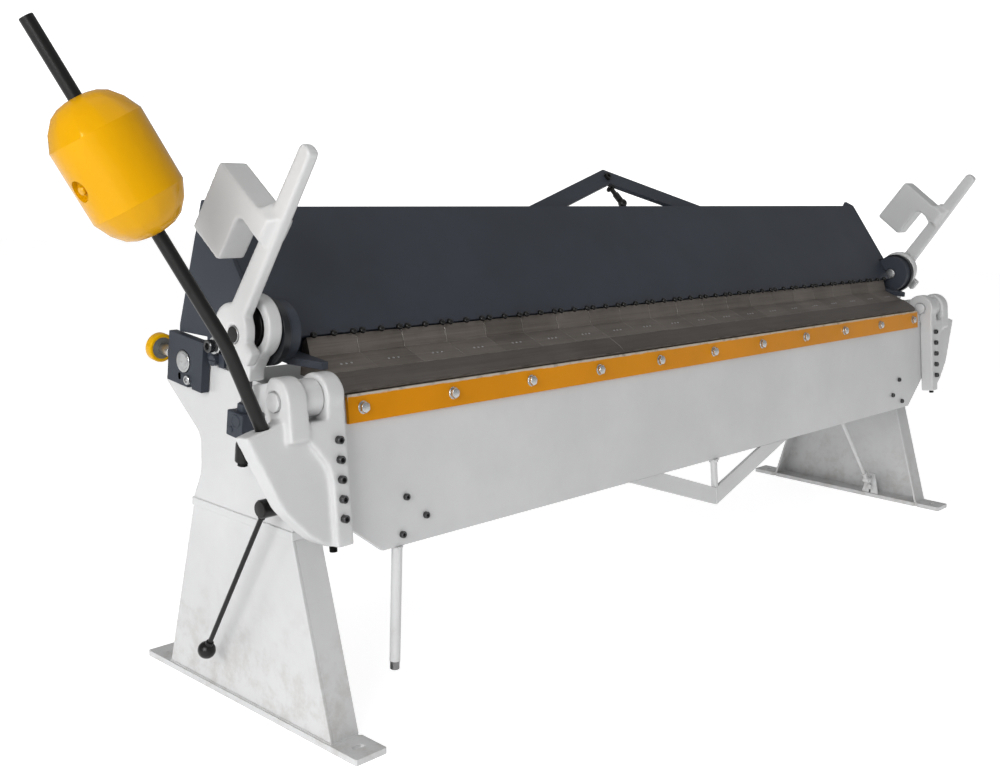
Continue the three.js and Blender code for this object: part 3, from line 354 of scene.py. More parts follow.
    @staticmethod
    def _island(seeds: list[bmesh.types.BMVert]) -> list[bmesh.types.BMVert]:
        """Gives all the vertices that hang together with some, in the order found.

        Args:
            seeds: Vertices to start from.

        Returns:
            The vertices.
        """
        found, queue = dict.fromkeys(seeds), list(seeds)
        while queue:
            for edge in queue.pop().link_edges:
                for vert in edge.verts:
                    if vert not in found:
                        found[vert] = None
                        queue.append(vert)
        return list(found)

    def add(self, other: "Shape", matrix: Matrix | None = None) -> "Shape":
        """Adds a copy of another shape, which may be used again.

        Args:
            other: The shape to copy.
            matrix: Moves the copy, if given.

        Returns:
            The shape itself.
        """
        mesh = bpy.data.meshes.new("part")
        other.bm.to_mesh(mesh)
        if matrix is not None:
            mesh.transform(matrix)
        self.bm.from_mesh(mesh)
        bpy.data.meshes.remove(mesh)
        return self

    def soften(self, width: float, segments: int = 2, angle: float = 34.0) -> "Shape":
        """Rounds the sharp edges and marks the new faces as edges, for wear and for a painted edge highlight.

        Args:
            width: Width of the rounding.
            segments: Faces across it.
            angle: Angle over which an edge is sharp.

        Returns:
            The shape itself.
        """
        limit = math.radians(angle)
        sharp = [e for e in self.bm.edges if len(e.link_faces) == 2 and e.calc_face_angle(0.0) > limit]
        made = bmesh.ops.bevel(
            self.bm,
            geom=sharp,
            offset=width,
            offset_type="OFFSET",
            affect="EDGES",
            segments=segments,
            profile=0.5,
            material=-1,
            clamp_overlap=False,
        )
        mark = self.bm.faces.layers.float[self.MARK]
        for face in made["faces"]:
            face[mark] = 1.0
        return self

    def to_side(self, side: Side) -> "Shape":
        """Mirrors the shape if it goes to the left end.

        Args:
            side: The end that the shape goes to.

        Returns:
            The shape itself.
        """
        if side is Side.LEFT:
            self.place(Matrix.Scale(-1, 4, OUTWARD))
            bmesh.ops.reverse_faces(self.bm, faces=self.bm.faces[:])
        return self

    def carve(self, tool: "Shape") -> "Shape":
        """Cuts another shape out of this one.

        Args:
            tool: The shape to cut away.

        Returns:
            The shape itself.
        """
        objects = []
        for name, shape in (("carved", self), ("tool", tool)):
            mesh = bpy.data.meshes.new(name)
            shape.bm.to_mesh(mesh)
            objects.append(bpy.data.objects.new(name, mesh))
            bpy.context.scene.collection.objects.link(objects[-1])
        body, cutter = objects
        knife = body.modifiers.new("knife", "BOOLEAN")
        knife.operation, knife.solver, knife.object = "DIFFERENCE", "EXACT", cutter
        bpy.context.view_layer.update()
        result = body.evaluated_get(bpy.context.evaluated_depsgraph_get())
        self.bm.clear()
        self.bm.from_mesh(result.to_mesh())
        result.to_mesh_clear()
        for item in objects:
            mesh = item.data
            bpy.data.objects.remove(item)
            bpy.data.meshes.remove(mesh)
        if self.MARK not in self.bm.faces.layers.float:
            self.bm.faces.layers.float.new(self.MARK)
        return self

    def shade(self, angle: float = 40.0) -> "Shape":
        """Shades smooth, with creases over an angle kept sharp.

        Args:
            angle: Angle over which a crease stays sharp.

        Returns:
            The shape itself.
        """
        limit = math.radians(angle)
        for face in self.bm.faces:
            face.smooth = True
        for edge in self.bm.edges:
            if len(edge.link_faces) == 2:
                edge.smooth = edge.calc_face_angle(0.0) < limit
        return self


def chamfered(radius: float, low: float, high: float, chamfer: float) -> list[Span]:
    """Gives the profile of a turned bar with both ends chamfered.

    Args:
        radius: Radius of the bar.
        low: Height of its lower end.
        high: Height of its upper end.
        chamfer: Width of the chamfers.

    Returns:
        Radii and heights, from one end on the axis to the other.
    """
    return [
        (0, low), (radius - chamfer, low), (radius, low + chamfer),
        (radius, high - chamfer), (radius - chamfer, high), (0, high),
    ]


def thread(low: float, high: float, radius: float, pitch: float) -> list[Span]:
    """Gives the profile of a thread's crests from its end upwards.

    Args:
        low: Height of the thread's end.
        high: Height where the thread stops.
        radius: Radius of the crests.
        pitch: Distance between the crests.

    Returns:
        Radii and heights, from the end on the axis upwards.
    """
    profile = [(0.0, low), (radius - 1.5, low)]
    height = low + pitch / 2
    while height < high:
        profile += [(radius, height), (radius - 1.0, height + pitch / 2)]
        height += pitch
    return profile + [(radius, high)]


def cap_screw(radius: float, height: float, socket: float) -> Shape:
    """Models a socket head screw's head, standing on z = 0.

    Args:
        radius: Head radius.
        height: Head height.
        socket: Half the width of the hexagon socket.

    Returns:
        The head with its hexagon socket.
    """
    lip = 0.12 * radius
    mouth = socket * 1.12
    profile = [
        (0, 0), (radius, 0), (radius, height - lip), (radius - lip, height),
        (socket * 1.32, height), (mouth, height - lip / 2), (mouth, height * 0.45), (0, height * 0.4),
    ]
    shape = Shape().lathe(profile, steps=24)
    for vert in shape.bm.verts:
        reach = math.hypot(vert.co.x, vert.co.y)
        if 0.01 < reach < socket * 1.2:
            turn = math.atan2(vert.co.y, vert.co.x) % (math.pi / 3) - math.pi / 6
            scale = socket / math.cos(turn) / reach
            vert.co.x *= scale
            vert.co.y *= scale
    return shape


def hex_head(radius: float, height: float, washer: float = 0.0, washer_height: float = 0.0) -> Shape:
    """Models a hexagon head on its washer, standing on z = 0.

    Args:
        radius: Radius to the corners of the hexagon.
        height: Height of the head alone.
        washer: Radius of the washer, or zero for none.
        washer_height: Thickness of the washer.

    Returns:
        The head, with its corners chamfered and a raised button on it.
    """
    top = washer_height + height
    shape = Shape().rod((0, 0, washer_height), (0, 0, top), radius, 6).soften(0.9, 1)
    low, high, side = top - 1, top + 0.9, radius * 0.8
    shape.lathe([(0, low), (side, low), (side, top + 0.4), (radius * 0.72, high), (0, high)], steps=24)
    if washer > 0:
        rim = 0.5
        disc = [(0, 0), (washer, 0), (washer, washer_height - rim), (washer - rim, washer_height)]
        shape.lathe(disc + [(0, washer_height)], steps=32)
    return shape


def weld(start: Point, end: Point, radius: float, ripple: float = 6.0) -> Shape:
    """Models a weld bead between two points.

    Args:
        start: Where the bead starts.
        end: Where it ends.
        radius: Its radius.
        ripple: Distance between its ripples.

    Returns:
        The bead.
    """
    run = Vector(end) - Vector(start)
    bead = Shape()
    bmesh.ops.create_cone(
        bead.bm, cap_ends=True, segments=8, radius1=radius, radius2=radius, depth=run.length
    )
    long_edges = [e for e in bead.bm.edges if abs(e.verts[0].co.z - e.verts[1].co.z) > run.length / 2]
    bmesh.ops.subdivide_edges(bead.bm, edges=long_edges, cuts=max(4, int(run.length / ripple * 2)))
    for vert in bead.bm.verts:
        turn = math.atan2(vert.co.y, vert.co.x)
        scale = 0.9 + 0.12 * math.cos(2 * math.pi * vert.co.z / ripple + 0.6 * turn)
        vert.co.x *= scale
        vert.co.y *= scale
    return bead.place(aimed((Vector(start) + Vector(end)) / 2, run))


def beads(runs: Iterable[tuple[Point, Point]], radius: float) -> Shape:
    """Models a weld bead along each of several runs.

    Args:
        runs: Start and end of each bead.
        radius: Radius of the beads.

    Returns:
        The beads as one shape.
    """
    shape = Shape()
    for start, end in runs:
        shape.add(weld(start, end, radius))
    return shape


# Shader graphs


class Tone:
    """A value in a shader, which the usual operators work on."""

    def __init__(self, graph: "Graph", socket: bpy.types.NodeSocket) -> None:
        """Wraps a socket of a graph."""
        self.graph = graph
        self.socket = socket

    def _math(self, operation: str, first: Any, second: Any) -> "Tone":
        """Adds a Math node."""
        made = self.graph.node("ShaderNodeMath", {"operation": operation}, {0: first, 1: second})
        return Tone(self.graph, made.outputs[0])

    def __add__(self, other: Any) -> "Tone":
        """Adds."""
        return self._math("ADD", self, other)

    __radd__ = __add__

    def __sub__(self, other: Any) -> "Tone":
        """Subtracts."""
        return self._math("SUBTRACT", self, other)

    def __rsub__(self, other: Any) -> "Tone":
        """Subtracts from a number."""
        return self._math("SUBTRACT", other, self)

    def __mul__(self, other: Any) -> "Tone":
        """Multiplies."""
        return self._math("MULTIPLY", self, other)

    __rmul__ = __mul__

    def __truediv__(self, other: Any) -> "Tone":
        """Divides."""
        return self._math("DIVIDE", self, other)

    def __rtruediv__(self, other: Any) -> "Tone":
        """Divides a number."""
        return self._math("DIVIDE", other, self)

    def most(self, other: Any) -> "Tone":
        """Gives the larger of two values."""
        return self._math("MAXIMUM", self, other)

    def whole(self) -> "Tone":
        """Rounds down to a whole number."""
        return self._math("FLOOR", self, 0.0)

    def between(self, low: float, high: float) -> "Tone":
        """Rises smoothly from 0 at the low value to 1 at the high one.

        Args:
            low: Value that gives 0.
            high: Value that gives 1.

        Returns:
            The new value.
        """
        made = self.graph.node(
            "ShaderNodeMapRange",
            {"interpolation_type": "SMOOTHSTEP"},
            {"Value": self, "From Min": low, "From Max": high, "To Min": 0.0, "To Max": 1.0},
        )
        return Tone(self.graph, made.outputs[0])


class Graph:
    """A material's nodes."""

    def __init__(self, name: str) -> None:
        """Starts a material with one shader.

        Args:
            name: Name of the material.
        """
        self.material = bpy.data.materials.new(name)
        self.material.use_nodes = True
        self.tree = self.material.node_tree
        self.tree.nodes.clear()
        self.shader = self.node("ShaderNodeBsdfPrincipled")
        output = self.node("ShaderNodeOutputMaterial")
        self.tree.links.new(output.inputs["Surface"], self.shader.outputs["BSDF"])
        self.place = self.node("ShaderNodeTexCoord").outputs["Object"]

    def node(
        self, kind: str, settings: dict[str, Any] | None = None, inputs: dict[Any, Any] | None = None
    ) -> bpy.types.Node:
        """Adds a node.

        Args:
            kind: Blender's name of the node type.
            settings: Properties to set first.
            inputs: Values or links by socket name or number.

        Returns:
            The node.
        """
        made = self.tree.nodes.new(kind)
        for key, value in (settings or {}).items():
            setattr(made, key, value)
        for key, value in (inputs or {}).items():
            self.feed(made.inputs[key], value)
        return made

    def feed(self, socket: bpy.types.NodeSocket, value: Any) -> None:
        """Links or sets one socket.

        Args:
            socket: The socket.
            value: A link, or a value to set.
        """
        source = value.socket if isinstance(value, Tone) else value
        if isinstance(source, bpy.types.NodeSocket):
            self.tree.links.new(socket, source)
        else:
            socket.default_value = source

    def dress(self, **inputs: Any) -> None:
        """Feeds the shader, with socket names written with underscores."""
        for key, value in inputs.items():
            self.feed(self.shader.inputs[key.replace("_", " ")], value)

    def stretched(self, scale: Point, turn: Point = ORIGIN) -> bpy.types.NodeSocket:
        """Gives the place scaled by axis and turned."""
        made = self.node("ShaderNodeMapping", inputs={"Vector": self.place, "Scale": scale, "Rotation": turn})
        return made.outputs[0]

    def noise(self, scale: float, detail: float = 3.0, rough: float = 0.55, where: Any = None) -> Tone:
        """Gives cloudy noise about a half.

        Args:
            scale: Waves per metre.
            detail: Octaves.
            rough: Strength of the finer octaves.
            where: Place to read, or None for the piece's own.

        Returns:
            The noise.
        """
        place = self.place if where is None else where
        inputs = {"Vector": place, "Scale": scale, "Detail": detail, "Roughness": rough}
        return Tone(self, self.node("ShaderNodeTexNoise", inputs=inputs).outputs[0])

    def axis(self, letter: str) -> Tone:
        """Gives one coordinate of the place, in metres."""
        split = self.node("ShaderNodeSeparateXYZ", inputs={0: self.place})
        return Tone(self, split.outputs[letter])

    def edges(self) -> Tone:
        """Gives 1 on the rounded edges of a piece."""
        made = self.node("ShaderNodeAttribute", {"attribute_type": "GEOMETRY", "attribute_name": Shape.MARK})
        return Tone(self, made.outputs["Fac"])

    def mix(self, share: Any, first: Any, second: Any) -> bpy.types.NodeSocket:
        """Mixes two colours."""
        settings = {"data_type": "RGBA", "clamp_factor": True}
        return self.node("ShaderNodeMix", settings, {0: share, 6: first, 7: second}).outputs[2]

    def bump(self, height: Tone, distance: float, after: Any = None) -> bpy.types.NodeSocket:
        """Gives a normal from a height in units of the distance.

        Args:
            height: The height.
            distance: Depth of a height of 1, in metres.
            after: Normal to start from.

        Returns:
            The normal.
        """
        inputs: dict[str, Any] = {"Height": height, "Distance": distance, "Strength": 1.0}
        if after is not None:
            inputs["Normal"] = after
        return self.node("ShaderNodeBump", inputs=inputs).outputs[0]


def shaded(colour: Colour, factor: float) -> Colour:
    """Gives a colour made darker or lighter."""
    return (colour[0] * factor, colour[1] * factor, colour[2] * factor, 1.0)


# Finishes


COAT_ROUGHNESS = 0.12


@dataclass(frozen=True)
class Enamel:
    """Sprayed paint with orange peel, floor dirt and chipped edges.

    The scales are in waves per metre and the depths in metres. The shares of
    cloud, dirt and chips run from 0 to 1.
    """

    name: str
    slot: str
    colour: Colour
    roughness: float = 0.36
    coat: float = 0.25
    peel_scale: float = 190.0
    peel_depth: float = 0.00012
    grain_scale: float = 0.0
    grain_depth: float = 0.0
    cloud: float = 0.05
    dirt: float = 0.35
    chips: float = 0.12
    primer: Colour = (0.2, 0.2, 0.19, 1.0)
    soil: Colour = (0.24, 0.21, 0.17, 1.0)
    dust_height: float = 0.42
    gloss: float = 0.5
    gleam: Colour = (1.0, 1.0, 1.0, 1.0)

    def material(self) -> bpy.types.Material:
        """Builds the node material.

        Returns:
            The material.
        """
        graph = Graph(self.name)
        cloud = graph.noise(2.3, 4.0, 0.6).between(0.3, 0.7)
        tint = graph.mix(cloud, shaded(self.colour, 1 - self.cloud), shaded(self.colour, 1 + self.cloud))
        mottle = graph.noise(38.0).between(0.45, 0.75) * (self.cloud * 1.5)
        tint = graph.mix(mottle, tint, shaded(self.colour, 0.82))
        low = 1 - graph.axis("Z").between(0.0, self.dust_height)
        dust = low * graph.noise(17.0, 5.0, 0.7).between(0.42, 0.7) * self.dirt
        tint = graph.mix(dust, tint, self.soil)
        flakes = graph.noise(46.0, 5.0, 0.72).between(0.69 - 0.2 * self.chips, 0.72 - 0.1 * self.chips)
        chip = graph.edges() * flakes
        rub = graph.edges() * graph.noise(9.0).between(0.4, 0.7) * self.chips
        tint = graph.mix(rub, tint, shaded(self.colour, 0.62))
        tint = graph.mix(chip * min(1.0, 4 * self.chips), tint, self.primer)
        rough = graph.noise(5.0, 4.0, 0.6) * 0.1 + (self.roughness - 0.05) + dust * 0.4 + chip * 0.15
        normal = graph.bump(graph.noise(self.peel_scale, 2.0), self.peel_depth)
        if self.grain_scale > 0:
            normal = graph.bump(graph.noise(self.grain_scale, 3.0, 0.7), self.grain_depth, after=normal)
        graph.dress(Base_Color=tint, Roughness=rough, Normal=normal)
        graph.dress(Coat_Weight=self.coat, Coat_Roughness=COAT_ROUGHNESS)
        graph.dress(Specular_IOR_Level=self.gloss, Specular_Tint=self.gleam)
        return graph.material


@dataclass(frozen=True)
class WornEnamel(Enamel):
    """Paint on a rail whose top edge is rubbed bare by sheets.

    The rail's top and the height of the bare band are in metres.
    """

    top: float = 0.8205
    band: float = 0.0065
    steel: Colour = (0.62, 0.58, 0.52, 1.0)

    def material(self) -> bpy.types.Material:
        """Builds the node material.

        Returns:
            The material.
        """
        graph = Graph(self.name)
        height = graph.axis("Z")
        streak = graph.noise(1.0, 6.0, 0.75, graph.stretched((22.0, 90.0, 240.0)))
        ragged = height + (streak - 0.5) * (self.band * 1.6)
        worn = ragged.between(self.top - self.band, self.top - self.band * 0.45)
        bare = worn.most(graph.edges() * height.between(self.top - 0.02, self.top))
        cloud = graph.noise(3.0, 4.0)
        paint = graph.mix(cloud.between(0.3, 0.7), shaded(self.colour, 0.93), shaded(self.colour, 1.06))
        oil = graph.mix(graph.noise(26.0, 5.0).between(0.5, 0.72), self.steel, shaded(self.steel, 0.5))
        graph.dress(
            Base_Color=graph.mix(bare, paint, oil),
            Metallic=bare,
            Roughness=graph.noise(12.0, 4.0) * 0.14 + (self.roughness - 0.07) + bare * 0.06,
            Coat_Weight=(1 - bare) * self.coat,
            Coat_Roughness=COAT_ROUGHNESS,
            Normal=graph.bump(graph.noise(self.peel_scale, 2.0) - bare * 0.5, self.peel_depth),
            Specular_IOR_Level=self.gloss,
            Specular_Tint=self.gleam,
        )
        return graph.material


@dataclass(frozen=True)
class GroundSteel:
    """Ground tool steel, browned by oil, with drawn streaks, scratches and nicks, and rounded edges lightened
    as a painted highlight.

    Where a joint is given, in metres, each segment from the start has a tone of
    its own.
    """

    name: str
    slot: str
    dark: Colour = (0.1, 0.086, 0.075, 1.0)
    light: Colour = (0.28, 0.25, 0.225, 1.0)
    # Colour of the painted highlight on the rounded edges, also used for the real scratches and nicks.
    bright: Colour = (0.33, 0.31, 0.29, 1.0)
    roughness: float = 0.42
    joint: float = 0.0
    start: float = 0.0

    def material(self) -> bpy.types.Material:
        """Builds the node material.

        Returns:
            The material.
        """
        graph = Graph(self.name)
        drawn = graph.noise(1.0, 7.0, 0.72, graph.stretched((2.2, 55.0, 95.0)))
        fine = graph.noise(1.0, 3.0, 0.6, graph.stretched((9.0, 420.0, 620.0)))
        stain = graph.noise(5.5, 6.0, 0.66)
        tone = drawn * 0.6 + stain * 0.4 + (fine - 0.5) * 0.25
        if self.joint > 0:
            number = ((graph.axis("X") - self.start) / self.joint).whole()
            pick = graph.node("ShaderNodeTexWhiteNoise", {"noise_dimensions": "1D"}, {"W": number})
            tone = tone + (Tone(graph, pick.outputs["Value"]) - 0.5) * 0.12
        tint = graph.mix(tone.between(0.1, 0.9), self.dark, self.light)
        across = graph.stretched((1.4, 900.0, 260.0), (0, 0, 0.35))
        scratch = graph.noise(1.0, 2.0, 0.5, across).between(0.78, 0.81)
        steep = graph.stretched((500.0, 3.0, 3.0), (0, 0, 0.5))
        nick = graph.noise(1.0, 2.0, 0.5, steep).between(0.8, 0.82)
        # Painted highlight: the rounded edges are lightened where light would catch them. Real scratches and
        # nicks are added to the same mask below.
        painted_highlight_and_scratches = graph.edges() * graph.noise(24.0, 4.0).between(0.34, 0.6)
        painted_highlight_and_scratches = painted_highlight_and_scratches.most(scratch * 0.5).most(nick * 0.35)
        tint = graph.mix(painted_highlight_and_scratches, tint, self.bright)
        graph.dress(
            Base_Color=tint,
            Metallic=0.85,
            Roughness=(drawn - 0.5) * 0.3 + self.roughness + stain * 0.12 - painted_highlight_and_scratches * 0.12,
            Normal=graph.bump(fine + scratch * -0.6, 0.00008),
        )
        return graph.material


@dataclass(frozen=True)
class TurnedSteel:
    """Bare or plated steel with fine turning marks."""

    name: str
    slot: str
    colour: Colour
    roughness: float = 0.3
    metallic: float = 1.0
    smudge: float = 0.35

    def material(self) -> bpy.types.Material:
        """Builds the node material.

        Returns:
            The material.
        """
        graph = Graph(self.name)
        blot = graph.noise(32.0, 4.0, 0.6)
        fine = graph.noise(900.0, 2.0)
        tint = graph.mix(blot.between(0.4, 0.72) * self.smudge, self.colour, shaded(self.colour, 0.55))
        tint = graph.mix(graph.edges() * 0.35, tint, shaded(self.colour, 1.35))
        graph.dress(
            Base_Color=tint,
            Metallic=self.metallic,
            Roughness=blot * 0.22 + (self.roughness - 0.11),
            Normal=graph.bump(fine, 0.00003),
        )
        return graph.material


@dataclass(frozen=True)
class FloorCover:
    """The studio's white paper, which glows a little so that no horizon shows."""

    name: str = "studio_floor"
    colour: Colour = (0.5, 0.5, 0.5, 1.0)
    glow: float = 0.8

    def material(self) -> bpy.types.Material:
        """Builds the node material.

        Returns:
            The material.
        """
        graph = Graph(self.name)
        graph.dress(Base_Color=self.colour, Roughness=graph.noise(3.0) * 0.05 + 0.6)
        graph.dress(Emission_Color=(1.0, 1.0, 1.0, 1.0), Emission_Strength=self.glow)
        return graph.material


LIGHT = Enamel("light_enamel", "light_paint", (0.53, 0.532, 0.536, 1.0), chips=0.1)
CAST_LIGHT = Enamel(
    "light_enamel_cast",
    "light_paint",
    (0.51, 0.512, 0.514, 1.0),
    peel_scale=120.0,
    peel_depth=0.00014,
    grain_scale=420.0,
    grain_depth=0.00006,
    chips=0.05,
    cloud=0.04,
)
SLATE = Enamel(
    "slate_enamel",
    "slate_paint",
    (0.028, 0.0335, 0.045, 1.0),
    roughness=0.5,
    coat=0.0,
    peel_scale=620.0,
    peel_depth=0.0003,
    grain_scale=1700.0,
    grain_depth=0.0001,
    cloud=0.12,
    dirt=0.1,
    chips=0.16,
    primer=(0.28, 0.28, 0.27, 1.0),
    gloss=0.3,
)
DISC = Enamel(
    "disc_enamel",
    "slate_paint",
    (0.009, 0.0105, 0.013, 1.0),
    roughness=0.3,
    coat=0.0,
    dirt=0.0,
    gloss=0.35,
    chips=0.16,
)
OCHRE = WornEnamel(
    "ochre_enamel",
    "ochre_paint",
    (0.58, 0.215, 0.001, 1.0),
    roughness=0.38,
    coat=0.0,
    gloss=0.3,
    gleam=(1.0, 0.6, 0.1, 1.0),
)
YELLOW = Enamel(
    "yellow_enamel",
    "yellow_paint",
    (0.58, 0.285, 0.0005, 1.0),
    roughness=0.16,
    coat=0.1,
    peel_scale=14.0,
    peel_depth=0.0022,
    dirt=0.0,
    primer=(0.32, 0.25, 0.1, 1.0),
    gloss=0.4,
    gleam=(1.0, 0.72, 0.22, 1.0),
)
RIM = Enamel(
    "rim_enamel",
    "yellow_paint",
    (0.6, 0.32, 0.0005, 1.0),
    roughness=0.3,
    coat=0.0,
    dirt=0.0,
    gloss=0.35,
    gleam=(1.0, 0.72, 0.22, 1.0),
)
BLADE = GroundSteel("blade_steel", "blade_steel")
SEGMENTS = GroundSteel("segment_steel", "blade_steel", joint=0.152, start=-1.3408, roughness=0.46)
NOSE = GroundSteel(
    "nose_steel", "blade_steel", dark=(0.06, 0.051, 0.045, 1.0), light=(0.18, 0.16, 0.145, 1.0), roughness=0.4
)
BARE = TurnedSteel("turned_steel", "bare_steel", (0.5, 0.505, 0.51, 1.0))
STEEL = TurnedSteel("plain_steel", "bare_steel", (0.2, 0.2, 0.2, 1.0), roughness=0.34)
ZINC = TurnedSteel("zinc_plate", "zinc_plate", (0.56, 0.57, 0.565, 1.0), roughness=0.26, smudge=0.25)
BLACK = TurnedSteel(
    "black_oxide", "black_steel", (0.01, 0.0097, 0.0095, 1.0), roughness=0.34, metallic=0.5, smudge=0.5
)
IRON = TurnedSteel("burnished_steel", "black_steel", (0.085, 0.085, 0.088, 1.0), roughness=0.28, metallic=0.9)
GREY_FACE = Enamel("wheel_face", "yellow_paint", (0.1, 0.105, 0.1, 1.0), roughness=0.4, dirt=0.0)
FLOOR = FloorCover()
BACKDROP = FloorCover("studio_backdrop", glow=1.0)


# Workshop


class Workshop:
    """Makes finished pieces from shapes and sets them into the shared frame."""

    def __init__(self, frame: dict[str, Any]) -> None:
        """Keeps the loaded frame and the way into it.
        """
        self.nodes = frame["nodes"]
        self.drawing = Drawing()
        self.into_row = self.drawing.into_row()
        self.materials: dict[str, bpy.types.Material] = {}

    def coat(self, piece: bpy.types.Object, finish: Any) -> None:
        """Gives a piece its finish.

        Args:
            piece: The piece.
            finish: The finish, whose material is made once.
        """
        if finish.name not in self.materials:
            self.materials[finish.name] = finish.material()
        piece.data.materials.clear()
        piece.data.materials.append(self.materials[finish.name])

    def copy(self, node: str) -> Shape:
        """Gives a merged copy of a solid, in the drawing's frame."""
        return Shape.of_mesh(self.nodes[node].data, self.into_row.inverted())

    def publish(
        self, shape: Shape, name: str, finish: Any, body: str, nodes: Sequence[str] = (), crease: float = 40.0
    ) -> bpy.types.Object:
        """Turns a shape into a finished piece that rides on a body.

        Args:
            shape: The shape, in the drawing's frame.
            name: Name of the piece.
            finish: Its finish.
            body: The body that carries it.
            nodes: Solids that it replaces.
            crease: Angle over which edges stay sharp.

        Returns:
            The object.
        """
        shape.shade(crease).place(self.into_row)
        mesh = bpy.data.meshes.new(name)
        shape.bm.to_mesh(mesh)
        shape.bm.free()
        piece = bpy.data.objects.new(name, mesh)
        bpy.context.scene.collection.objects.link(piece)
        self.coat(piece, finish)
        even = piece.modifiers.new("even_normals", "WEIGHTED_NORMAL")
        even.keep_sharp = True
        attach(piece, body)
        if nodes:
            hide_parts(*nodes)
        LOG.info("%s: %d faces on %s", name, len(mesh.polygons), body)
        return piece

    def dress(
        self, node: str, finish: Any, body: str, width: float = 1.5, segments: int = 2
    ) -> bpy.types.Object:
        """Gives a solid rounded edges and a finish, in its own place."""
        return self.publish(self.copy(node).soften(width, segments), f"{node}_dressed", finish, body, [node])

    def cast(self, piece: bpy.types.Object, voxel: float, passes: int) -> None:
        """Gives a piece the soft edges and fillets of a casting.

        Args:
            piece: The piece.
            voxel: Size of the skin's cells, in millimetres.
            passes: Smoothing passes.
        """
        piece.modifiers.clear()
        skin = piece.modifiers.new("cast_skin", "REMESH")
        skin.mode, skin.voxel_size, skin.use_smooth_shade = "VOXEL", voxel * METRES, True
        fillet = piece.modifiers.new("cast_fillets", "SMOOTH")
        fillet.factor, fillet.iterations = 0.5, passes


# Sub-assemblies


@dataclass
class Assembly:
    """Pieces that belong together, drawn for the right end."""

    shop: Workshop

    @property
    def place(self) -> Drawing:
        """Sizes and places that the whole machine shares."""
        return self.shop.drawing

    def end_piece(
        self,
        shape: Shape,
        side: Side,
        name: str,
        finish: Any,
        body: str,
        stands_for: str = "",
        crease: float = 40.0,
    ) -> bpy.types.Object:
        """Finishes a piece of one end, and adds the end's suffix to its names.

        Args:
            shape: The shape, drawn for the right end.
            side: The end that it goes to.
            name: Name of the piece.
            finish: Its finish.
            body: The body that carries it.
            stands_for: The solid that it replaces, or nothing.
            crease: Angle over which edges stay sharp.

        Returns:
            The object.
        """
        nodes = [f"{stands_for}_{side.suffix}"] if stands_for else []
        return self.shop.publish(shape.to_side(side), f"{name}_{side.suffix}", finish, body, nodes, crease)


# Stands, side frames and bed


@dataclass
class Stands(Assembly):
    """Feet, welded stands and the diagonal tie rod at the right end."""

    body: str = "frame"
    front_bottom: float = -220.0
    back_bottom: float = 449.0
    front_top: float = -73.0
    back_top: float = 334.0
    top: float = 473.0
    foot: float = 16.0
    web: float = 8.0
    flange: float = 84.0
    bead: float = 3.5
    tie_foot: Point = (1495.0, -12.0, 84.0)
    tie_head: Point = (1090.0, -12.0, 512.0)
    tie_radius: float = 8.0
    gusset: Profile = ((-49, 16.3), (25, 16.3), (4, 104), (-28, 104))
    gusset_x: Span = (1536.3, 1546.0)

    def build(self) -> None:
        """Builds both stands."""
        for side in Side:
            for node in ("foot", "stand_web", "stand_front_flange", "stand_back_flange"):
                self.shop.dress(f"{node}_{side.suffix}", LIGHT, self.body, 1.2)
            self.welds(side)
        self.tie_rod(Side.RIGHT)

    def welds(self, side: Side) -> None:
        """Lays the weld beads inside a stand.

        Args:
            side: The end of the machine.
        """
        low, outer = self.foot, self.place.frame_outer
        inner, reach = outer - self.web, outer - self.flange + 4
        front, back = self.front_bottom, self.back_bottom
        runs = []
        for bottom, top, skin in ((front, self.front_top, self.web), (back, self.back_top, -self.web)):
            runs += [
                ((inner, bottom + skin, low), (inner, top + skin, self.top)),
                ((reach, bottom + skin, low), (inner, bottom + skin, low)),
                ((reach, bottom, low), (outer, bottom, low)),
            ]
        runs.append(((inner, front + self.web, low), (inner, back - self.web, low)))
        runs.append(((outer, front, low), (outer, back, low)))
        self.end_piece(beads(runs, self.bead), side, "stand_welds", LIGHT, self.body, crease=60)

    def tie_rod(self, side: Side) -> None:
        """Builds the tie rod with its gusset, eyes and upper pad.

        Args:
            side: The end of the machine.
        """
        foot, head = Vector(self.tie_foot), Vector(self.tie_head)
        run = (head - foot).normalized()
        near, far = self.gusset_x
        bracket = Shape().plate(self.gusset, self.gusset_x)
        bracket.block((near, far + 34), (-17, -7), (16.3, 60))
        bracket.block((head.x - 30, head.x + 30), (-29.7, -19.7), (500, 570)).soften(1.5)
        self.end_piece(bracket, side, "tie_brackets", LIGHT, self.body, "tie_rod")
        rod = Shape().rod(foot, head, self.tie_radius, 24)
        rod.lathe(chamfered(13, -14, 14, 1), foot, REARWARD, 32)
        rod.lathe(chamfered(13, -14, 7, 1), head, REARWARD, 32)
        rod.rod(foot, (far + 2, foot.y, foot.z), self.tie_radius - 0.5, 24)
        rod.rod(head, (head.x, -20, head.z), self.tie_radius, 24)
        rod.add(hex_head(*TIE_BOLT), aimed(foot + Vector((0, -13, 0)), FORWARD))
        rod.add(hex_head(13, 12), aimed(foot + run * 34, run))
        rod.add(hex_head(*TIE_BOLT), aimed((near - 0.3, foot.y, 45), (-1, 0, 0)))
        self.end_piece(rod, side, "tie_rod_bar", LIGHT, self.body)


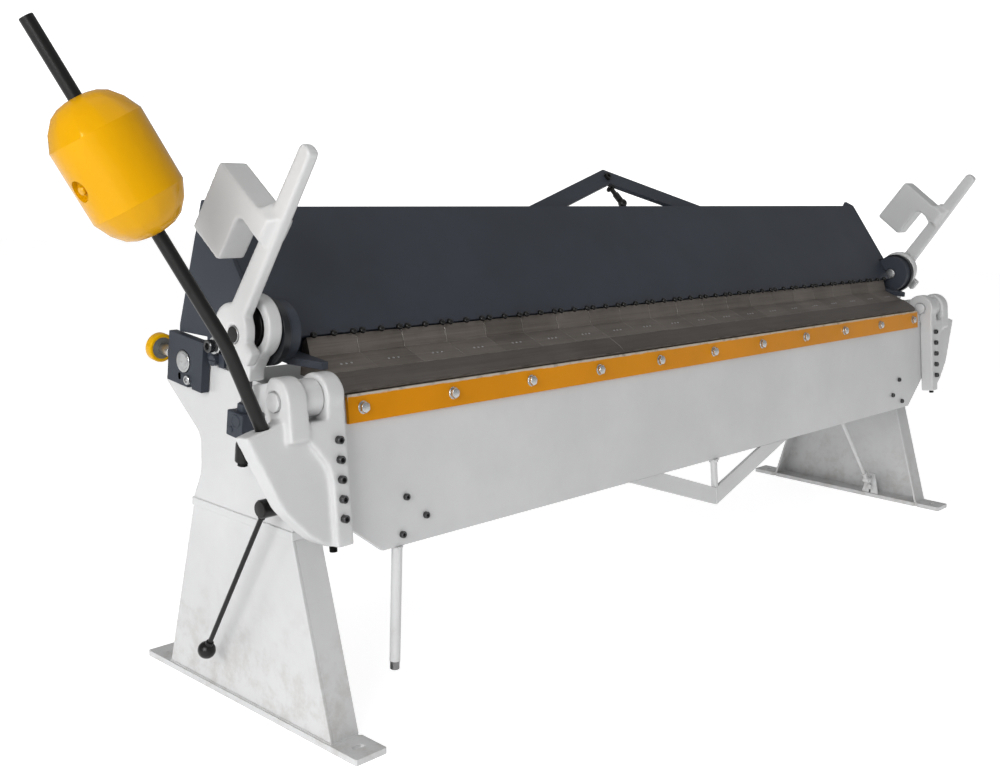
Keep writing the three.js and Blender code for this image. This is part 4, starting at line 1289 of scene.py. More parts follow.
@dataclass
class SideFrames(Assembly):
    """Side frames, hinge pins, rear pivot pins and the bolts of the ledge."""

    body: str = "frame"
    pin: float = 22.5
    pin_from: float = 1563.5
    pin_to: float = 1729.5
    pivot_inset: float = 40.0
    pivot: Profile = (
        (0, 0), (26, 0), (28, 2), (28, 67), (26.5, 68.6), (22, 68.6), (21, 70.4), (3, 70.4), (2, 69), (0, 69),
    )
    ledge_bolts: Sequence[float] = (-30, 70, 190, 290)
    ledge_inset: float = 62.0
    ledge_low: float = 472.7
    ledge_high: float = 495.0

    def build(self) -> None:
        """Builds both side frames and what they carry."""
        for side in Side:
            self.shop.dress(f"side_frame_{side.suffix}", LIGHT, self.body, 2.2, 3)
            self.pins(side)
            self.ledge(side)

    def pins(self, side: Side) -> None:
        """Turns the two pins of a side frame.

        Args:
            side: The end of the machine.
        """
        place = self.place
        middle, half = (self.pin_from + self.pin_to) / 2, (self.pin_to - self.pin_from) / 2
        at = (middle, place.fold_y, place.fold_z)
        hinge = Shape().lathe(chamfered(self.pin, -half, half, 2.5), at, OUTWARD, 64)
        self.end_piece(hinge, side, "hinge_pin_turned", LIGHT, self.body, "hinge_pin", 50)
        at = (place.frame_outer - self.pivot_inset, place.pivot_y, place.pivot_z)
        pivot = Shape().lathe(self.pivot, at, OUTWARD, 64)
        self.end_piece(pivot, side, "pivot_pin_turned", BARE, self.body, "rear_pivot_pin", 50)

    def ledge(self, side: Side) -> None:
        """Sets the bolts that hold a side frame on its stand.

        Args:
            side: The end of the machine.
        """
        x = self.place.frame_outer - self.ledge_inset
        bolts = Shape()
        for y in self.ledge_bolts:
            for z, along in ((self.ledge_low, (0, 0, -1)), (self.ledge_high, UPWARD)):
                bolts.add(hex_head(*FRAME_BOLT), aimed((x, y, z), along))
        self.end_piece(bolts, side, "ledge_bolts", ZINC, self.body)


@dataclass
class Bed(Assembly):
    """Table, web and lower blade."""

    screw_count: int = 20
    screw_start: Point = (-1444.0, -92.0, 822.2)
    screw_pitch: float = 152.0

    def build(self) -> None:
        """Builds the bed."""
        self.shop.dress("bed_table", LIGHT, "frame", 1.2)
        self.shop.dress("bed_web", LIGHT, "frame", 1.2)
        self.shop.dress("bed_blade", BLADE, "frame", 0.9)
        screws = Shape()
        head = cap_screw(8, 4, 4)
        for index in range(self.screw_count):
            at = Vector(self.screw_start) + Vector((index * self.screw_pitch, 0, 0))
            screws.add(head, aimed(at, UPWARD))
        self.shop.publish(screws, "blade_screws", BLACK, "frame")


# Upper beam


@dataclass
class UpperBeam(Assembly):
    """The clamping beam with its bearings and truss."""

    body: str = "upper_beam"
    plate_height: float = 366.0
    apex: float = 464.0
    stub: Profile = ((0, 0), (11.5, 0), (11.5, 6.2), (10.5, 7.2), (6.5, 7.2), (6.0, 4.0), (0, 4.0))
    end_disc: Profile = (
        (22, 1.4), (77.9, 1.4), (79.4, 2.9), (79.4, 19), (77.9, 20.4), (22, 20.4), (22, 1.4),
    )
    inner_disc: Profile = ((22, -33.6), (70, -33.6), (71.4, -32.2), (71.4, 1.2), (22, 1.2), (22, -33.6))
    stop: Point = (1634.3, 202.0, 902.0)
    stop_collar: Profile = ((0, 0), (20.5, 0), (22.5, 2), (22.5, 8.5), (20.3, 10.7), (0, 10.7))
    stud: Point = (1634.3, 200.0, 867.0)
    stud_profile: Profile = ((0, 0), (13.5, 0), (13.5, 17), (12, 18.7), (0, 18.7))

    def build(self) -> None:
        """Builds the beam."""
        for node in ("upper_base", "upper_front_plate", "upper_end_plate_left", "upper_end_plate_right"):
            self.shop.dress(node, SLATE, self.body, 1.6)
        for side in Side:
            self.bearing_block(side)
            self.shop.dress(f"upper_truss_arm_{side.suffix}", SLATE, self.body, 1.4)
            self.discs(side)
            self.stop_screw(side)
        self.truss_screw()
        self.welds()

    def bearing_block(self, side: Side) -> None:
        """Dresses a rear bearing, cuts its oil slot and notch, and adds its stub.

        Args:
            side: The end of the machine.
        """
        outer = self.place.frame_outer
        cuts = Shape().block((outer + 21, outer + 30), (343, 355), (799, 817)).soften(5.0, 4, 60)
        cuts.rod((outer, 306, 785), (outer + 30, 306, 785), 9.0, 24)
        node = f"bearing_block_{side.suffix}"
        shape = self.shop.copy(node).carve(cuts.to_side(side))
        self.shop.publish(shape.soften(1.8), f"{node}_dressed", SLATE, self.body, [node])
        stub = Shape().lathe(self.stub, (outer + 25, 312, 803), OUTWARD, 36)
        self.end_piece(stub, side, "bearing_stub", BARE, self.body)

    def discs(self, side: Side) -> None:
        """Turns the two discs round the clamp shaft at the beam's end.

        Args:
            side: The end of the machine.
        """
        centre = (self.place.frame_outer, self.place.clamp_y, self.place.clamp_z)
        for name, finish, rim in (("end_disc", DISC, self.end_disc), ("inner_disc", SLATE, self.inner_disc)):
            self.end_piece(Shape().lathe(rim, centre, OUTWARD, 96), side, name, finish, self.body, crease=50)

    def stop_screw(self, side: Side) -> None:
        """Adds the shoulder screw with its ring, and the slotted stud under it.

        Args:
            side: The end of the machine.
        """
        at = Vector(self.stop)
        self.end_piece(Shape().lathe(self.stop_collar, at, OUTWARD), side, "stop_collar", BARE, self.body)
        screw = Shape().rod(at + Vector((10, 0, 0)), at + Vector((16, 0, 0)), 14)
        screw.add(cap_screw(16, 14, 8), aimed(at + Vector((15.7, 0, 0)), OUTWARD))
        self.end_piece(screw, side, "stop_screw", IRON, self.body)
        x, y, z = self.stud
        stud = Shape().lathe(self.stud_profile, self.stud, OUTWARD, 40)
        stud.carve(Shape().block((x + 15.7, x + 25.7), (y - 15, y + 15), (z - 1.6, z + 1.6)))
        stud.add(Shape().block((x, x + 6.7), (y - 34, y - 13), (z - 17, z + 17)).soften(1.2))
        self.end_piece(stud, side, "stop_stud", SLATE, self.body)

    def truss_screw(self) -> None:
        """Builds the tension screw between the plate and the truss, and the truss bolts."""
        face = self.place.face
        foot, head = Vector((0, 6, self.plate_height + 14)), Vector((0, 20, self.apex - 12))
        run = head - foot
        screw = Shape().ball(foot, 15, run)
        shank = [(0, 0), (8, 0), (8, 12), (11, 14), (11, 42), (8, 46), (8, run.length), (0, run.length)]
        screw.lathe(shank, foot, run, 40)
        screw.lathe(chamfered(16, 0, 6, 1), foot + run * 0.93, run, 40)
        screw.place(face)
        self.shop.publish(screw, "truss_tension_screw", BLACK, self.body, ["upper_truss_screw"], 45)
        bolts = Shape().add(cap_screw(13, 10, 6), aimed((0, 12.2, self.plate_height + 124), FORWARD))
        for x in (-430, -370, 370, 430):
            bolts.add(hex_head(*FRAME_BOLT), aimed((x, 28.4, self.plate_height - 34), REARWARD))
        self.shop.publish(bolts.place(face), "truss_bolts", BLACK, self.body)

    def welds(self) -> None:
        """Lays the weld beads at the back of the beam."""
        ends = [side.value * self.place.frame_outer for side in Side]
        seams = beads([((x, 12, 4), (x, 12, self.plate_height - 4)) for x in ends], 3.2)
        self.shop.publish(seams.place(self.place.face), "beam_welds", SLATE, self.body, crease=60)


@dataclass
class UpperTools(Assembly):
    """Segments with their screws, and the nose strips."""

    body: str = "upper_beam"
    count: int = 20
    row_end: float = 1520.0
    joint: float = 1.0
    outline: Profile = (
        (-83.4, 831.55), (28.0, 842.65), (21.0, 923.0), (5.0, 935.0), (-9.5, 890.5), (-83.4, 861.8),
    )
    button: Profile = ((0, 0), (8, 0), (9, 3), (8.6, 6.5), (6.5, 9.4), (3.4, 10.6), (0, 10.8))
    button_inset: float = 14.0
    dot: Profile = ((0, -1), (3.2, -1), (3.2, 0.5), (2.4, 1.1), (0, 1.1))
    dot_pitch: float = 16.0

    @property
    def pitch(self) -> float:
        """Length of a segment with its joint."""
        return 2 * self.row_end / self.count

    def build(self) -> None:
        """Builds the two rows of segments, the strips and the screws."""
        for side in Side:
            row, screws, pins = Shape(), Shape(), Shape()
            for index in range(self.count // 2):
                start = index * self.pitch + self.joint / 2
                end = start + self.pitch - self.joint
                row.add(Shape().plate(self.outline, (start, end)).soften(0.3, 1))
                self.screws(screws, pins, start, end)
            self.end_piece(row, side, "segments", SEGMENTS, self.body, "tool_segments")
            self.end_piece(screws, side, "segment_screws", BLACK, self.body)
            self.end_piece(pins, side, "segment_pins", BARE, self.body)
            self.shop.dress(f"nose_strip_{side.suffix}", NOSE, self.body, 1.0)

    def screws(self, screws: Shape, pins: Shape, start: float, end: float) -> None:
        """Sets the screws and locating pins of one segment.

        Args:
            screws: Takes the screws' heads.
            pins: Takes the locating pins.
            start: Where the segment starts.
            end: Where it ends.
        """
        middle = (start + end) / 2
        head = Shape().lathe(self.button, steps=24)
        for x in (start + self.button_inset, middle, end - self.button_inset):
            screws.add(head, aimed((x, -2.0, 938.5), (0, -0.55, 0.83)))
        dot = Shape().lathe(self.dot, steps=16)
        for x in (middle - self.dot_pitch, middle, middle + self.dot_pitch):
            pins.add(dot, aimed((x, -52, 873.9), (0, -0.362, 0.932)))


@dataclass
class SetbackWheels(Assembly):
    """The wheels that set the beam back by the sheet's thickness."""

    at: Point = (1634.0, 112.0, 7.0)
    rim: Profile = (
        (0, 3), (26, 3), (29, 0), (34, 0), (37, 3), (37, 21), (34, 24), (29, 24), (26, 21), (0, 21),
    )
    near_face: Profile = ((0, 0.6), (27, 0.6), (28.5, 1.6), (27, 3.2), (0, 3.2))
    far_face: Profile = ((0, 20.8), (27, 20.8), (28.5, 22.4), (27, 23.4), (0, 23.4))
    spindle: Profile = ((0, -64), (8, -64), (9, -63), (9, -42), (13, -41), (14, -40), (14, 0.4), (0, 0.4))

    def build(self) -> None:
        """Builds both wheels, each with its faces and spindle."""
        frame, at = self.place.bearing, self.at
        for side in Side:
            body = f"setback_wheel_{side.suffix}"
            wheel = Shape().lathe(self.rim, at, REARWARD, 72)
            self.end_piece(wheel.place(frame), side, "setback_rim", RIM, body, "setback_wheel", 55)
            faces = Shape().lathe(self.near_face, at, REARWARD, 64).lathe(self.far_face, at, REARWARD, 64)
            self.end_piece(faces.place(frame), side, "setback_face", GREY_FACE, body)
            spindle = Shape().lathe(self.spindle, at, REARWARD)
            spindle.add(hex_head(12, 8, 14, 2), aimed((at[0], at[1] + self.far_face[-1][1], at[2]), REARWARD))
            self.end_piece(spindle.place(frame), side, "setback_spindle", BARE, body)


# Clamp linkage


@dataclass
class ClampHeads(Assembly):
    """Eccentric shafts, clamp levers, straps and their swivels."""

    offset: float = 15.0
    ring: Profile = ((52, 0), (71, 0), (75, 3), (75, 35), (71, 38), (52, 38), (52, 0))
    shaft_radius: float = 20.0
    shaft_length: float = 142.0
    shaft_inset: float = 36.0
    eccentric: Profile = ((20, 22.5), (43, 22.5), (45, 24), (45, 59), (43, 60.5), (20, 60.5))
    shaft_cap: Profile = ((0, 0), (18.6, 0), (18.6, 0.7), (17.6, 1.4), (0, 1.4))
    rod_x: float = 58.0
    shank_low: float = 104.0
    block_x: Span = (28.0, 88.0)
    block_half: float = 30.0
    swivel_cap: Profile = ((0, -3), (17, -3), (17, 0.6), (15.5, 2.2), (13, 2.2), (12, 1.0), (0, 1.0))
    swivel_plug: Profile = ((0, -2), (8, -2), (8, 1.6), (6.5, 2.4), (0, 2.4))
    swivel_pin: Profile = ((0, -50), (14, -50), (14, 2), (0, 2))
    sleeve: Profile = (
        (12.3, 0), (15, 0), (16, -1), (16, -12), (19, -20), (19, -60), (17, -64), (12.3, -64), (12.3, 0),
    )

    def build(self) -> None:
        """Builds both clamps."""
        for side in Side:
            self.shaft(side)
            body = f"clamp_lever_{side.suffix}"
            lever = self.shop.copy(body)
            piece = self.shop.publish(lever, f"lever_casting_{side.suffix}", CAST_LIGHT, body, [body])
            self.shop.cast(piece, 4.0, 11)
            self.strap(side)
            self.swivel_block(side)

    def shaft(self, side: Side) -> None:
        """Turns the eccentric shaft and its dark parts.

        Args:
            side: The end of the machine.
        """
        place, body = self.place, f"clamp_lever_{side.suffix}"
        start = (place.frame_outer - self.shaft_inset, 0, 0)
        shaft = Shape().lathe(chamfered(self.shaft_radius, 0, self.shaft_length, 2), start, OUTWARD, 56)
        self.end_piece(shaft.place(place.clamp), side, "shaft_turned", BARE, body, "eccentric_shaft", 50)
        lean = math.radians(place.strap_lean)
        centre = (place.frame_outer, -self.offset * math.sin(lean), self.offset * math.cos(lean))
        dark = Shape().lathe(self.eccentric, centre, OUTWARD, 64)
        end = start[0] + self.shaft_length
        dark.lathe(self.shaft_cap, (end - 0.6, 0, 0), OUTWARD)
        self.end_piece(dark.place(place.clamp), side, "eccentric_turned", BLACK, body, crease=50)

    def strap(self, side: Side) -> None:
        """Builds a strap: a cast ring and shank on a threaded rod.

        Args:
            side: The end of the machine.
        """
        place, body = self.place, f"clamp_strap_{side.suffix}"
        near, middle = place.frame_outer + 25, place.frame_outer + self.rod_x
        length = math.hypot(place.swivel_y - place.clamp_y, place.clamp_z - place.swivel_z) + self.offset
        ring = Shape().lathe(self.ring, (near - 2.5, 0, length), OUTWARD, 64)
        ring.block((near, middle + 12), (-22, 22), (self.shank_low, length - 56))
        neck = [(-42, length - 58), (42, length - 58), (22, length - 98), (-22, length - 98)]
        ring.plate(neck, (near, near + 35.5))
        ring.place(place.strap)
        piece = self.end_piece(ring, side, "strap_casting", CAST_LIGHT, body, "clamp_strap")
        self.shop.cast(piece, 3.0, 8)
        profile = thread(-104, -94, 12, 1.75) + [(12, 108), (0, 108)]
        rod = Shape().lathe(profile, (middle, 0, 0), steps=32)
        self.end_piece(rod.place(place.strap), side, "strap_rod", IRON, body)
        collar = hex_head(20, 18).place(aimed((middle, 0, self.block_half + 0.3), UPWARD))
        self.end_piece(collar.place(place.strap), side, "strap_collar", SLATE, body)

    def swivel_block(self, side: Side) -> None:
        """Builds the swivel block and the sleeve nut under it.

        Args:
            side: The end of the machine.
        """
        place, body, half = self.place, f"clamp_strap_{side.suffix}", self.block_half
        inner, outer = (place.frame_outer + x for x in self.block_x)
        block = Shape().block((inner, outer), (-half, half), (-half, half)).soften(2.5, 3)
        block.lathe(self.swivel_cap, (outer, -4, 9), OUTWARD, 40)
        block.lathe(self.swivel_plug, (outer, 13, -14), OUTWARD, 32)
        block.lathe(self.swivel_pin, (inner, 0, 0), OUTWARD, 40)
        self.end_piece(block.place(place.strap), side, "swivel", SLATE, body, "swivel_block")
        nut = Shape().lathe(self.sleeve, ((inner + outer) / 2, 0, -half - 0.3))
        self.end_piece(nut.place(place.strap), side, "sleeve", BLACK, body, "sleeve_nut")


# Folding beam


@dataclass
class FoldBeam(Assembly):
    """The folding beam with its rail, arms, truss and handle."""

    body: str = "fold_beam"
    bolt_count: int = 11
    bolt_reach: float = 1480.0
    bolt_turn: float = 0.9
    strip_half: float = 1525.0
    strip_y: Span = (14.3, 22.3)
    end_screws: Profile = ((1356, -274), (1295, -330), (1376, -363))
    arm_bolt_count: int = 5
    arm_bolt_x: float = 1594.0
    arm_bolt_top: float = 98.0
    arm_bolt_pitch: float = 45.0
    jack: Point = (1609.0, -25.0, -342.0)
    handle_top: Point = (-1389.0, 7.0, -390.3)
    tube: Profile = ((0, -292), (13.5, -292), (13.5, 1), (0, 1))
    tip: Profile = ((0, -314), (10.5, -314), (12, -312.5), (12, -296), (13.3, -294), (13.3, -288), (0, -288))

    def build(self) -> None:
        """Builds the beam and everything bolted to it."""
        self.shop.dress("fold_plate", LIGHT, self.body, 1.6)
        self.shop.dress("fold_rail", OCHRE, self.body, 1.0)
        for side in Side:
            self.shop.dress(f"lower_truss_arm_{side.suffix}", LIGHT, self.body, 1.2)
            self.arm(side)
            self.arm_bolts(side)
        self.rail_bolts()
        self.strut()
        self.handle()

    @property
    def arm_bolt_heights(self) -> list[float]:
        """Heights of the screws of an arm."""
        return [-self.arm_bolt_top - index * self.arm_bolt_pitch for index in range(self.arm_bolt_count)]

    def rail_bolts(self) -> None:
        """Sets the hexagon bolts of the rail and the screws at the plate's ends."""
        fold = self.place.fold
        bolts = Shape()
        for index in range(self.bolt_count):
            x = -self.bolt_reach + 2 * self.bolt_reach * index / (self.bolt_count - 1)
            turn = Matrix.Rotation(self.bolt_turn * index, 4, "Z")
            bolts.add(hex_head(*RAIL_BOLT), aimed((x, -10.1, -40), FORWARD) @ turn)
        bolts.add(Shape().block((-self.strip_half, self.strip_half), self.strip_y, (-54, -26)).soften(1.0, 1))
        self.shop.publish(bolts.place(fold), "rail_bolt_set", ZINC, self.body, ["rail_bolts"])
        screws = Shape()
        for side in Side:
            for x, z in self.end_screws:
                screws.add(cap_screw(8.5, 9, 4), aimed((side.value * x, 0.2, z), FORWARD))
        self.shop.publish(screws.place(fold), "plate_screws", IRON, self.body)

    def arm(self, side: Side) -> None:
        """Gives an arm its cast skin, with its bolt holes plugged under the heads.

        Args:
            side: The end of the machine.
        """
        plugs = Shape()
        for z in self.arm_bolt_heights:
            plugs.rod((self.arm_bolt_x, -50.9, z), (self.arm_bolt_x, -0.4, z), 8.5, 24)
        node = f"fold_arm_{side.suffix}"
        arm = self.shop.copy(node).add(plugs.place(self.place.fold).to_side(side))
        piece = self.shop.publish(arm, f"arm_casting_{side.suffix}", CAST_LIGHT, self.body, [node])
        self.shop.cast(piece, 3.6, 12)

    def arm_bolts(self, side: Side) -> None:
        """Sets the socket screws of an arm and its jack screw.

        Args:
            side: The end of the machine.
        """
        fold, x = self.place.fold, self.arm_bolt_x
        bolts = Shape()
        for z in self.arm_bolt_heights:
            bolts.add(cap_screw(9.5, 12, 5), aimed((x, -51.2, z), FORWARD))
        ends = (self.arm_bolt_heights[-1] - 14, self.arm_bolt_heights[0] + 14)
        bolts.add(Shape().block((x - 14, x + 14), self.strip_y, ends).soften(1.0, 1))
        self.end_piece(bolts.place(fold), side, "arm_bolt_set", IRON, self.body, "arm_bolts")
        profile = thread(-12, 6, 9.5, 1.75) + [(9.5, 30), (0, 30)]
        jack = Shape().lathe(profile, self.jack, steps=32)
        self.end_piece(jack.place(fold), side, "jack", BLACK, self.body, "jack_screw")

    def strut(self) -> None:
        """Builds the strut of the lower truss, with its nut and the truss's welds."""
        fold = self.place.fold
        strut = Shape().lathe([(0, -480), (11, -480), (11, -400), (0, -400)], (0, 7, 0), steps=40)
        nut = hex_head(17, 8, 19, 2).place(Matrix.Rotation(math.pi, 4, "X"))
        strut.add(nut, Matrix.Translation((0, 7, -390.2)))
        self.shop.publish(strut.place(fold), "truss_strut", LIGHT, self.body, ["lower_truss_strut"])
        runs = [((side.value * 459, 1, -390.4), (side.value * 287, 1, -390.4)) for side in Side]
        runs.append(((0, 1, -484), (0, 1, -539)))
        self.shop.publish(beads(runs, 2.6).place(fold), "truss_welds", LIGHT, self.body, crease=60)

    def handle(self) -> None:
        """Builds the plumb handle bar, with its stepped tip and its weld."""
        top = self.place.fold @ Vector(self.handle_top)
        tube = Shape().lathe(self.tube, top, steps=40)
        self.shop.publish(tube, "handle_tube", LIGHT, self.body, ["handle_bar"])
        self.shop.publish(Shape().lathe(self.tip, top, steps=40), "handle_tip", STEEL, self.body)
        radius, count = self.tube[1][0], 12
        turns = [2 * math.pi * index / count for index in range(count + 1)]
        ring = [top + Vector((radius * math.cos(turn), radius * math.sin(turn), 0)) for turn in turns]
        self.shop.publish(beads(zip(ring, ring[1:]), 2.4), "handle_weld", LIGHT, self.body, crease=60)


@dataclass
class Balance(Assembly):
    """The counterweight and its bent rod."""

    rod_radius: float = 15.0
    mouth: Point = (-1766.0, -12.0, -61.0)
    bend: Point = (-1850.0, -21.0, 137.0)
    top: Point = (-2171.0, 79.0, 788.0)
    sunk: float = 39.0
    tangent: float = 26.0
    along: float = 414.0
    dome: Profile = ((24, 149), (44, 144.5), (63, 134.5), (84, 111), (100, 78))
    facets: int = 12
    recess: float = 21.0
    recess_depth: float = 12.0
    recess_turn: float = math.radians(-3.3)
    recess_drop: float = 8.0
    grub: Profile = ((0, -2), (9.5, -2), (9.5, 7), (8, 9), (0, 9.6))

    def build(self) -> None:
        """Builds the rod and the weight."""
        self.rod()
        self.weight()

    def rod(self) -> None:
        """Sweeps a circle up the rod: straight, round the bend, straight."""
        mouth, bend, top = (Vector(p) for p in (self.mouth, self.bend, self.top))
        first, second = (bend - mouth).normalized(), (top - bend).normalized()
        start, enter = mouth - first * self.sunk, bend - first * self.tangent
        turn = first.angle(second)
        inward = (second - first * second.dot(first)).normalized()
        shape = Shape()
        bm = shape.bm
        foot = aimed(start, first)
        bmesh.ops.create_circle(bm, cap_ends=False, segments=40, radius=self.rod_radius, matrix=foot)
        loop = bm.edges[:]
        bm.faces.new(bm.verts[:])
        loop = self.pull(shape, loop, enter - start)
        centre = enter + inward * (self.tangent / math.tan(turn / 2))
        swept = bmesh.ops.spin(bm, geom=loop, cent=centre, axis=first.cross(inward), angle=turn, steps=20)
        loop = [part for part in swept["geom_last"] if isinstance(part, bmesh.types.BMEdge)]
        loop = self.pull(shape, loop, top - bend - second * self.tangent)
        bmesh.ops.contextual_create(bm, geom=loop)
        bmesh.ops.recalc_face_normals(bm, faces=bm.faces[:])
        shape.soften(2.0, 2, 60).place(self.place.fold)
        self.shop.publish(shape, "balance_rod", BLACK, "fold_beam", ["counterweight_rod"])

    @staticmethod
    def pull(shape: Shape, loop: list[bmesh.types.BMEdge], travel: Vector) -> list[bmesh.types.BMEdge]:
        """Extrudes a loop of edges and gives the new loop.

        Args:
            shape: The shape that holds the loop.
            loop: The edges to extrude.
            travel: How far and where to.

        Returns:
            The edges of the new loop.
        """
        made = bmesh.ops.extrude_edge_only(shape.bm, edges=loop)["geom"]
        fresh = [part for part in made if isinstance(part, bmesh.types.BMVert)]
        bmesh.ops.translate(shape.bm, vec=travel, verts=fresh)
        return [part for part in made if isinstance(part, bmesh.types.BMEdge)]

    def weight(self) -> None:
        """Turns the weight, drills its recess and sets the grub screw in it."""
        bend, top = Vector(self.bend), Vector(self.top)
        along = (top - bend).normalized()
        centre = bend + along * self.along
        half, radius = self.dome[0][1], self.dome[-1][0]
        bore = self.rod_radius + 0.8
        rise = [(bore, half - 2), (bore + 2, half), *self.dome]
        profile = [(reach, -height) for reach, height in rise] + rise[::-1]
        shape = Shape().lathe(profile + [profile[0]], steps=96)
        self.flatten(shape)
        shape.place(aimed(centre, along))
        out = self.recess_way(along)
        floor = centre + out * (radius - self.recess_depth) - along * self.recess_drop
        shape.carve(Shape().rod(floor, floor + out * 32, self.recess, 48, self.recess + 4))
        shape.lathe(self.grub, floor, out, 32).place(self.place.fold)
        self.shop.publish(shape, "balance_weight", YELLOW, "counterweight", ["counterweight"], 22)

    def flatten(self, shape: Shape) -> None:
        """Gives the ends of the weight their flat facets.

        Args:
            shape: The weight, standing on its axis.
        """
        crease = self.dome[-1][1]
        half_facet = math.pi / self.facets
        for vert in shape.bm.verts:
            reach = math.hypot(vert.co.x, vert.co.y)
            if abs(vert.co.z) > crease + 1 and reach > self.dome[0][0] + 1:
                turn = math.atan2(vert.co.y, vert.co.x) % (2 * half_facet) - half_facet
                scale = 0.5 + 0.25 * (1 + math.cos(half_facet)) / math.cos(turn)
                vert.co.x *= scale
                vert.co.y *= scale

    def recess_way(self, along: Vector) -> Vector:
        """Gives the direction of the recess, seen from the weight's axis.

        Args:
            along: Direction of the rod.

        Returns:
            The direction.
        """
        left = Vector((-1, 0, 0))
        side = (left - along * left.dot(along)).normalized()
        turned_side = side * math.cos(self.recess_turn) + along.cross(side) * math.sin(self.recess_turn)
        return turned_side.normalized()


@dataclass
class LockLever(Assembly):
    """The lock lever on the left side frame."""

    hub: Point = (1620.0, -50.0, 559.0)
    hub_profile: Profile = (
        (0, -24), (11, -24), (11, 0.3), (22, 0.3), (22, 30), (20, 31.5),
        (20, 35), (22, 36.5), (22, 73), (19, 77), (9, 78), (0, 78),
    )
    rod_out: float = 60.0
    ball: Point = (1680.0, 192.0, 141.0)
    ball_radius: float = 22.5

    def build(self) -> None:
        """Builds the hub, rod and ball."""
        shape = Shape().lathe(self.hub_profile, self.hub, OUTWARD, 56)
        at, ball = Vector(self.hub) + Vector((self.rod_out, 0, 0)), Vector(self.ball)
        run = ball - at
        shape.lathe([(0, 10), (9, 10), (9, 30), (6, 34), (6, run.length), (0, run.length)], at, run, 32)
        shape.lathe([(0, -30), (9, -30), (10, -28), (10, -20), (0, -20)], ball, run, 32)
        shape.ball(ball, self.ball_radius, run)
        self.shop.publish(shape.to_side(Side.LEFT), "lock_handle", BLACK, "lock_lever", ["lock_lever"], 45)


# Studio


@dataclass(frozen=True)
class Softbox:
    """A large soft light, in metres and watts."""

    name: str
    at: Point
    toward: Point
    width: float
    height: float
    power: float

    def hang(self) -> None:
        """Hangs the light."""
        data = bpy.data.lights.new(self.name, "AREA")
        data.shape, data.size, data.size_y = "RECTANGLE", self.width, self.height
        data.energy = self.power
        lamp = bpy.data.objects.new(self.name, data)
        aim = Vector(self.toward) - Vector(self.at)
        lamp.matrix_world = Matrix.Translation(self.at) @ aim.to_track_quat("-Z", "Y").to_matrix().to_4x4()
        bpy.context.scene.collection.objects.link(lamp)


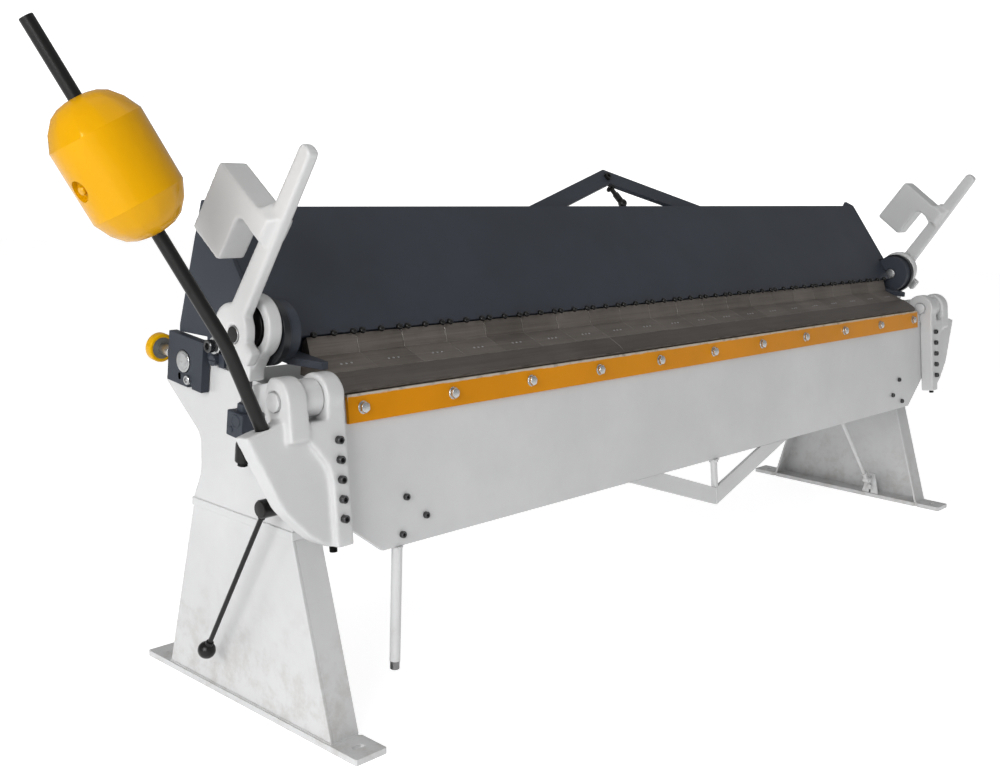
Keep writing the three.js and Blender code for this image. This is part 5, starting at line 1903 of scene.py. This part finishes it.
@dataclass
class Studio:
    """Camera, lights, floor and backdrop.

    The camera's eye is a point of the drawing, and its turns are in degrees.
    The papers' sizes and places are in metres.
    """

    shop: Workshop
    eye: Point = (-3311.2, -2255.8, 1349.3)
    yaw: float = 47.61
    pitch: float = -10.5
    roll: float = 1.95
    lens: float = 43.75
    sky: float = 0.35
    sheet: float = 30.0
    wall: float = 16.0
    wall_rise: float = 29.9
    softboxes: tuple[Softbox, ...] = (
        Softbox("key", (-6.5, -2.2, 2.8), (-0.6, 0.0, 0.7), 3.6, 2.6, 290.0),
        Softbox("top", (0.2, -0.6, 5.2), (0.2, 0.0, 0.6), 6.5, 3.5, 30.0),
    )

    def build(self) -> None:
        """Sets up the studio."""
        self.camera()
        for softbox in self.softboxes:
            softbox.hang()
        world = bpy.data.worlds.new("studio")
        world.use_nodes = True
        sky = world.node_tree.nodes["Background"]
        sky.inputs["Color"].default_value = (1.0, 1.0, 1.0, 1.0)
        sky.inputs["Strength"].default_value = self.sky
        bpy.context.scene.world = world
        bpy.context.scene.view_settings.view_transform = "Standard"
        self.paper("studio_floor", FLOOR, Matrix.Identity(4))
        hung = Matrix.Translation((0, self.wall, self.wall_rise))
        upright = hung @ Matrix.Rotation(math.radians(90), 4, "X")
        for index in range(4):
            turn = Matrix.Rotation(math.radians(90 * index), 4, "Z")
            wall = self.paper(f"studio_backdrop_{index}", BACKDROP, turn @ upright)
            wall.visible_diffuse = wall.visible_glossy = False

    def paper(self, name: str, finish: FloorCover, matrix: Matrix) -> bpy.types.Object:
        """Lays or hangs one sheet of paper, and gives it back.

        Args:
            name: Name of the sheet.
            finish: Its finish.
            matrix: Its place, in metres.

        Returns:
            The sheet.
        """
        sheet = bmesh.new()
        bmesh.ops.create_grid(sheet, x_segments=1, y_segments=1, size=self.sheet)
        bmesh.ops.transform(sheet, matrix=matrix, verts=sheet.verts[:])
        mesh = bpy.data.meshes.new(name)
        sheet.to_mesh(mesh)
        sheet.free()
        piece = bpy.data.objects.new(name, mesh)
        bpy.context.scene.collection.objects.link(piece)
        self.shop.coat(piece, finish)
        return piece

    def camera(self) -> None:
        """Sets the camera where the photograph was taken from."""
        yaw, pitch, roll = (math.radians(a) for a in (self.yaw, self.pitch, self.roll))
        forward = Vector((math.sin(yaw) * math.cos(pitch), math.cos(yaw) * math.cos(pitch), math.sin(pitch)))
        level = Vector((math.cos(yaw), -math.sin(yaw), 0.0))
        upright = level.cross(forward)
        right = level * math.cos(roll) + upright * math.sin(roll)
        upward = upright * math.cos(roll) - level * math.sin(roll)
        data = bpy.data.cameras.new("eye")
        data.lens, data.sensor_width, data.sensor_fit = self.lens, 36.0, "HORIZONTAL"
        data.clip_start, data.clip_end = 0.05, 200.0
        camera = bpy.data.objects.new("eye", data)
        turn = Matrix((right, upward, -forward)).transposed().to_4x4()
        camera.matrix_world = Matrix.Translation(self.shop.into_row @ Vector(self.eye)) @ turn
        bpy.context.scene.collection.objects.link(camera)
        bpy.context.scene.camera = camera


def main() -> None:
    """Builds the machine piece by piece."""
    logging.basicConfig(level=logging.INFO, format="%(name)s: %(message)s")
    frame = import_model()
    shop = Workshop(frame)
    Studio(shop).build()
    upper = (UpperBeam, UpperTools, SetbackWheels, ClampHeads)
    for assembly in (Stands, SideFrames, Bed, *upper, FoldBeam, Balance, LockLever):
        LOG.info("building %s", assembly.__name__)
        assembly(shop).build()


if __name__ == "__main__":
    main()
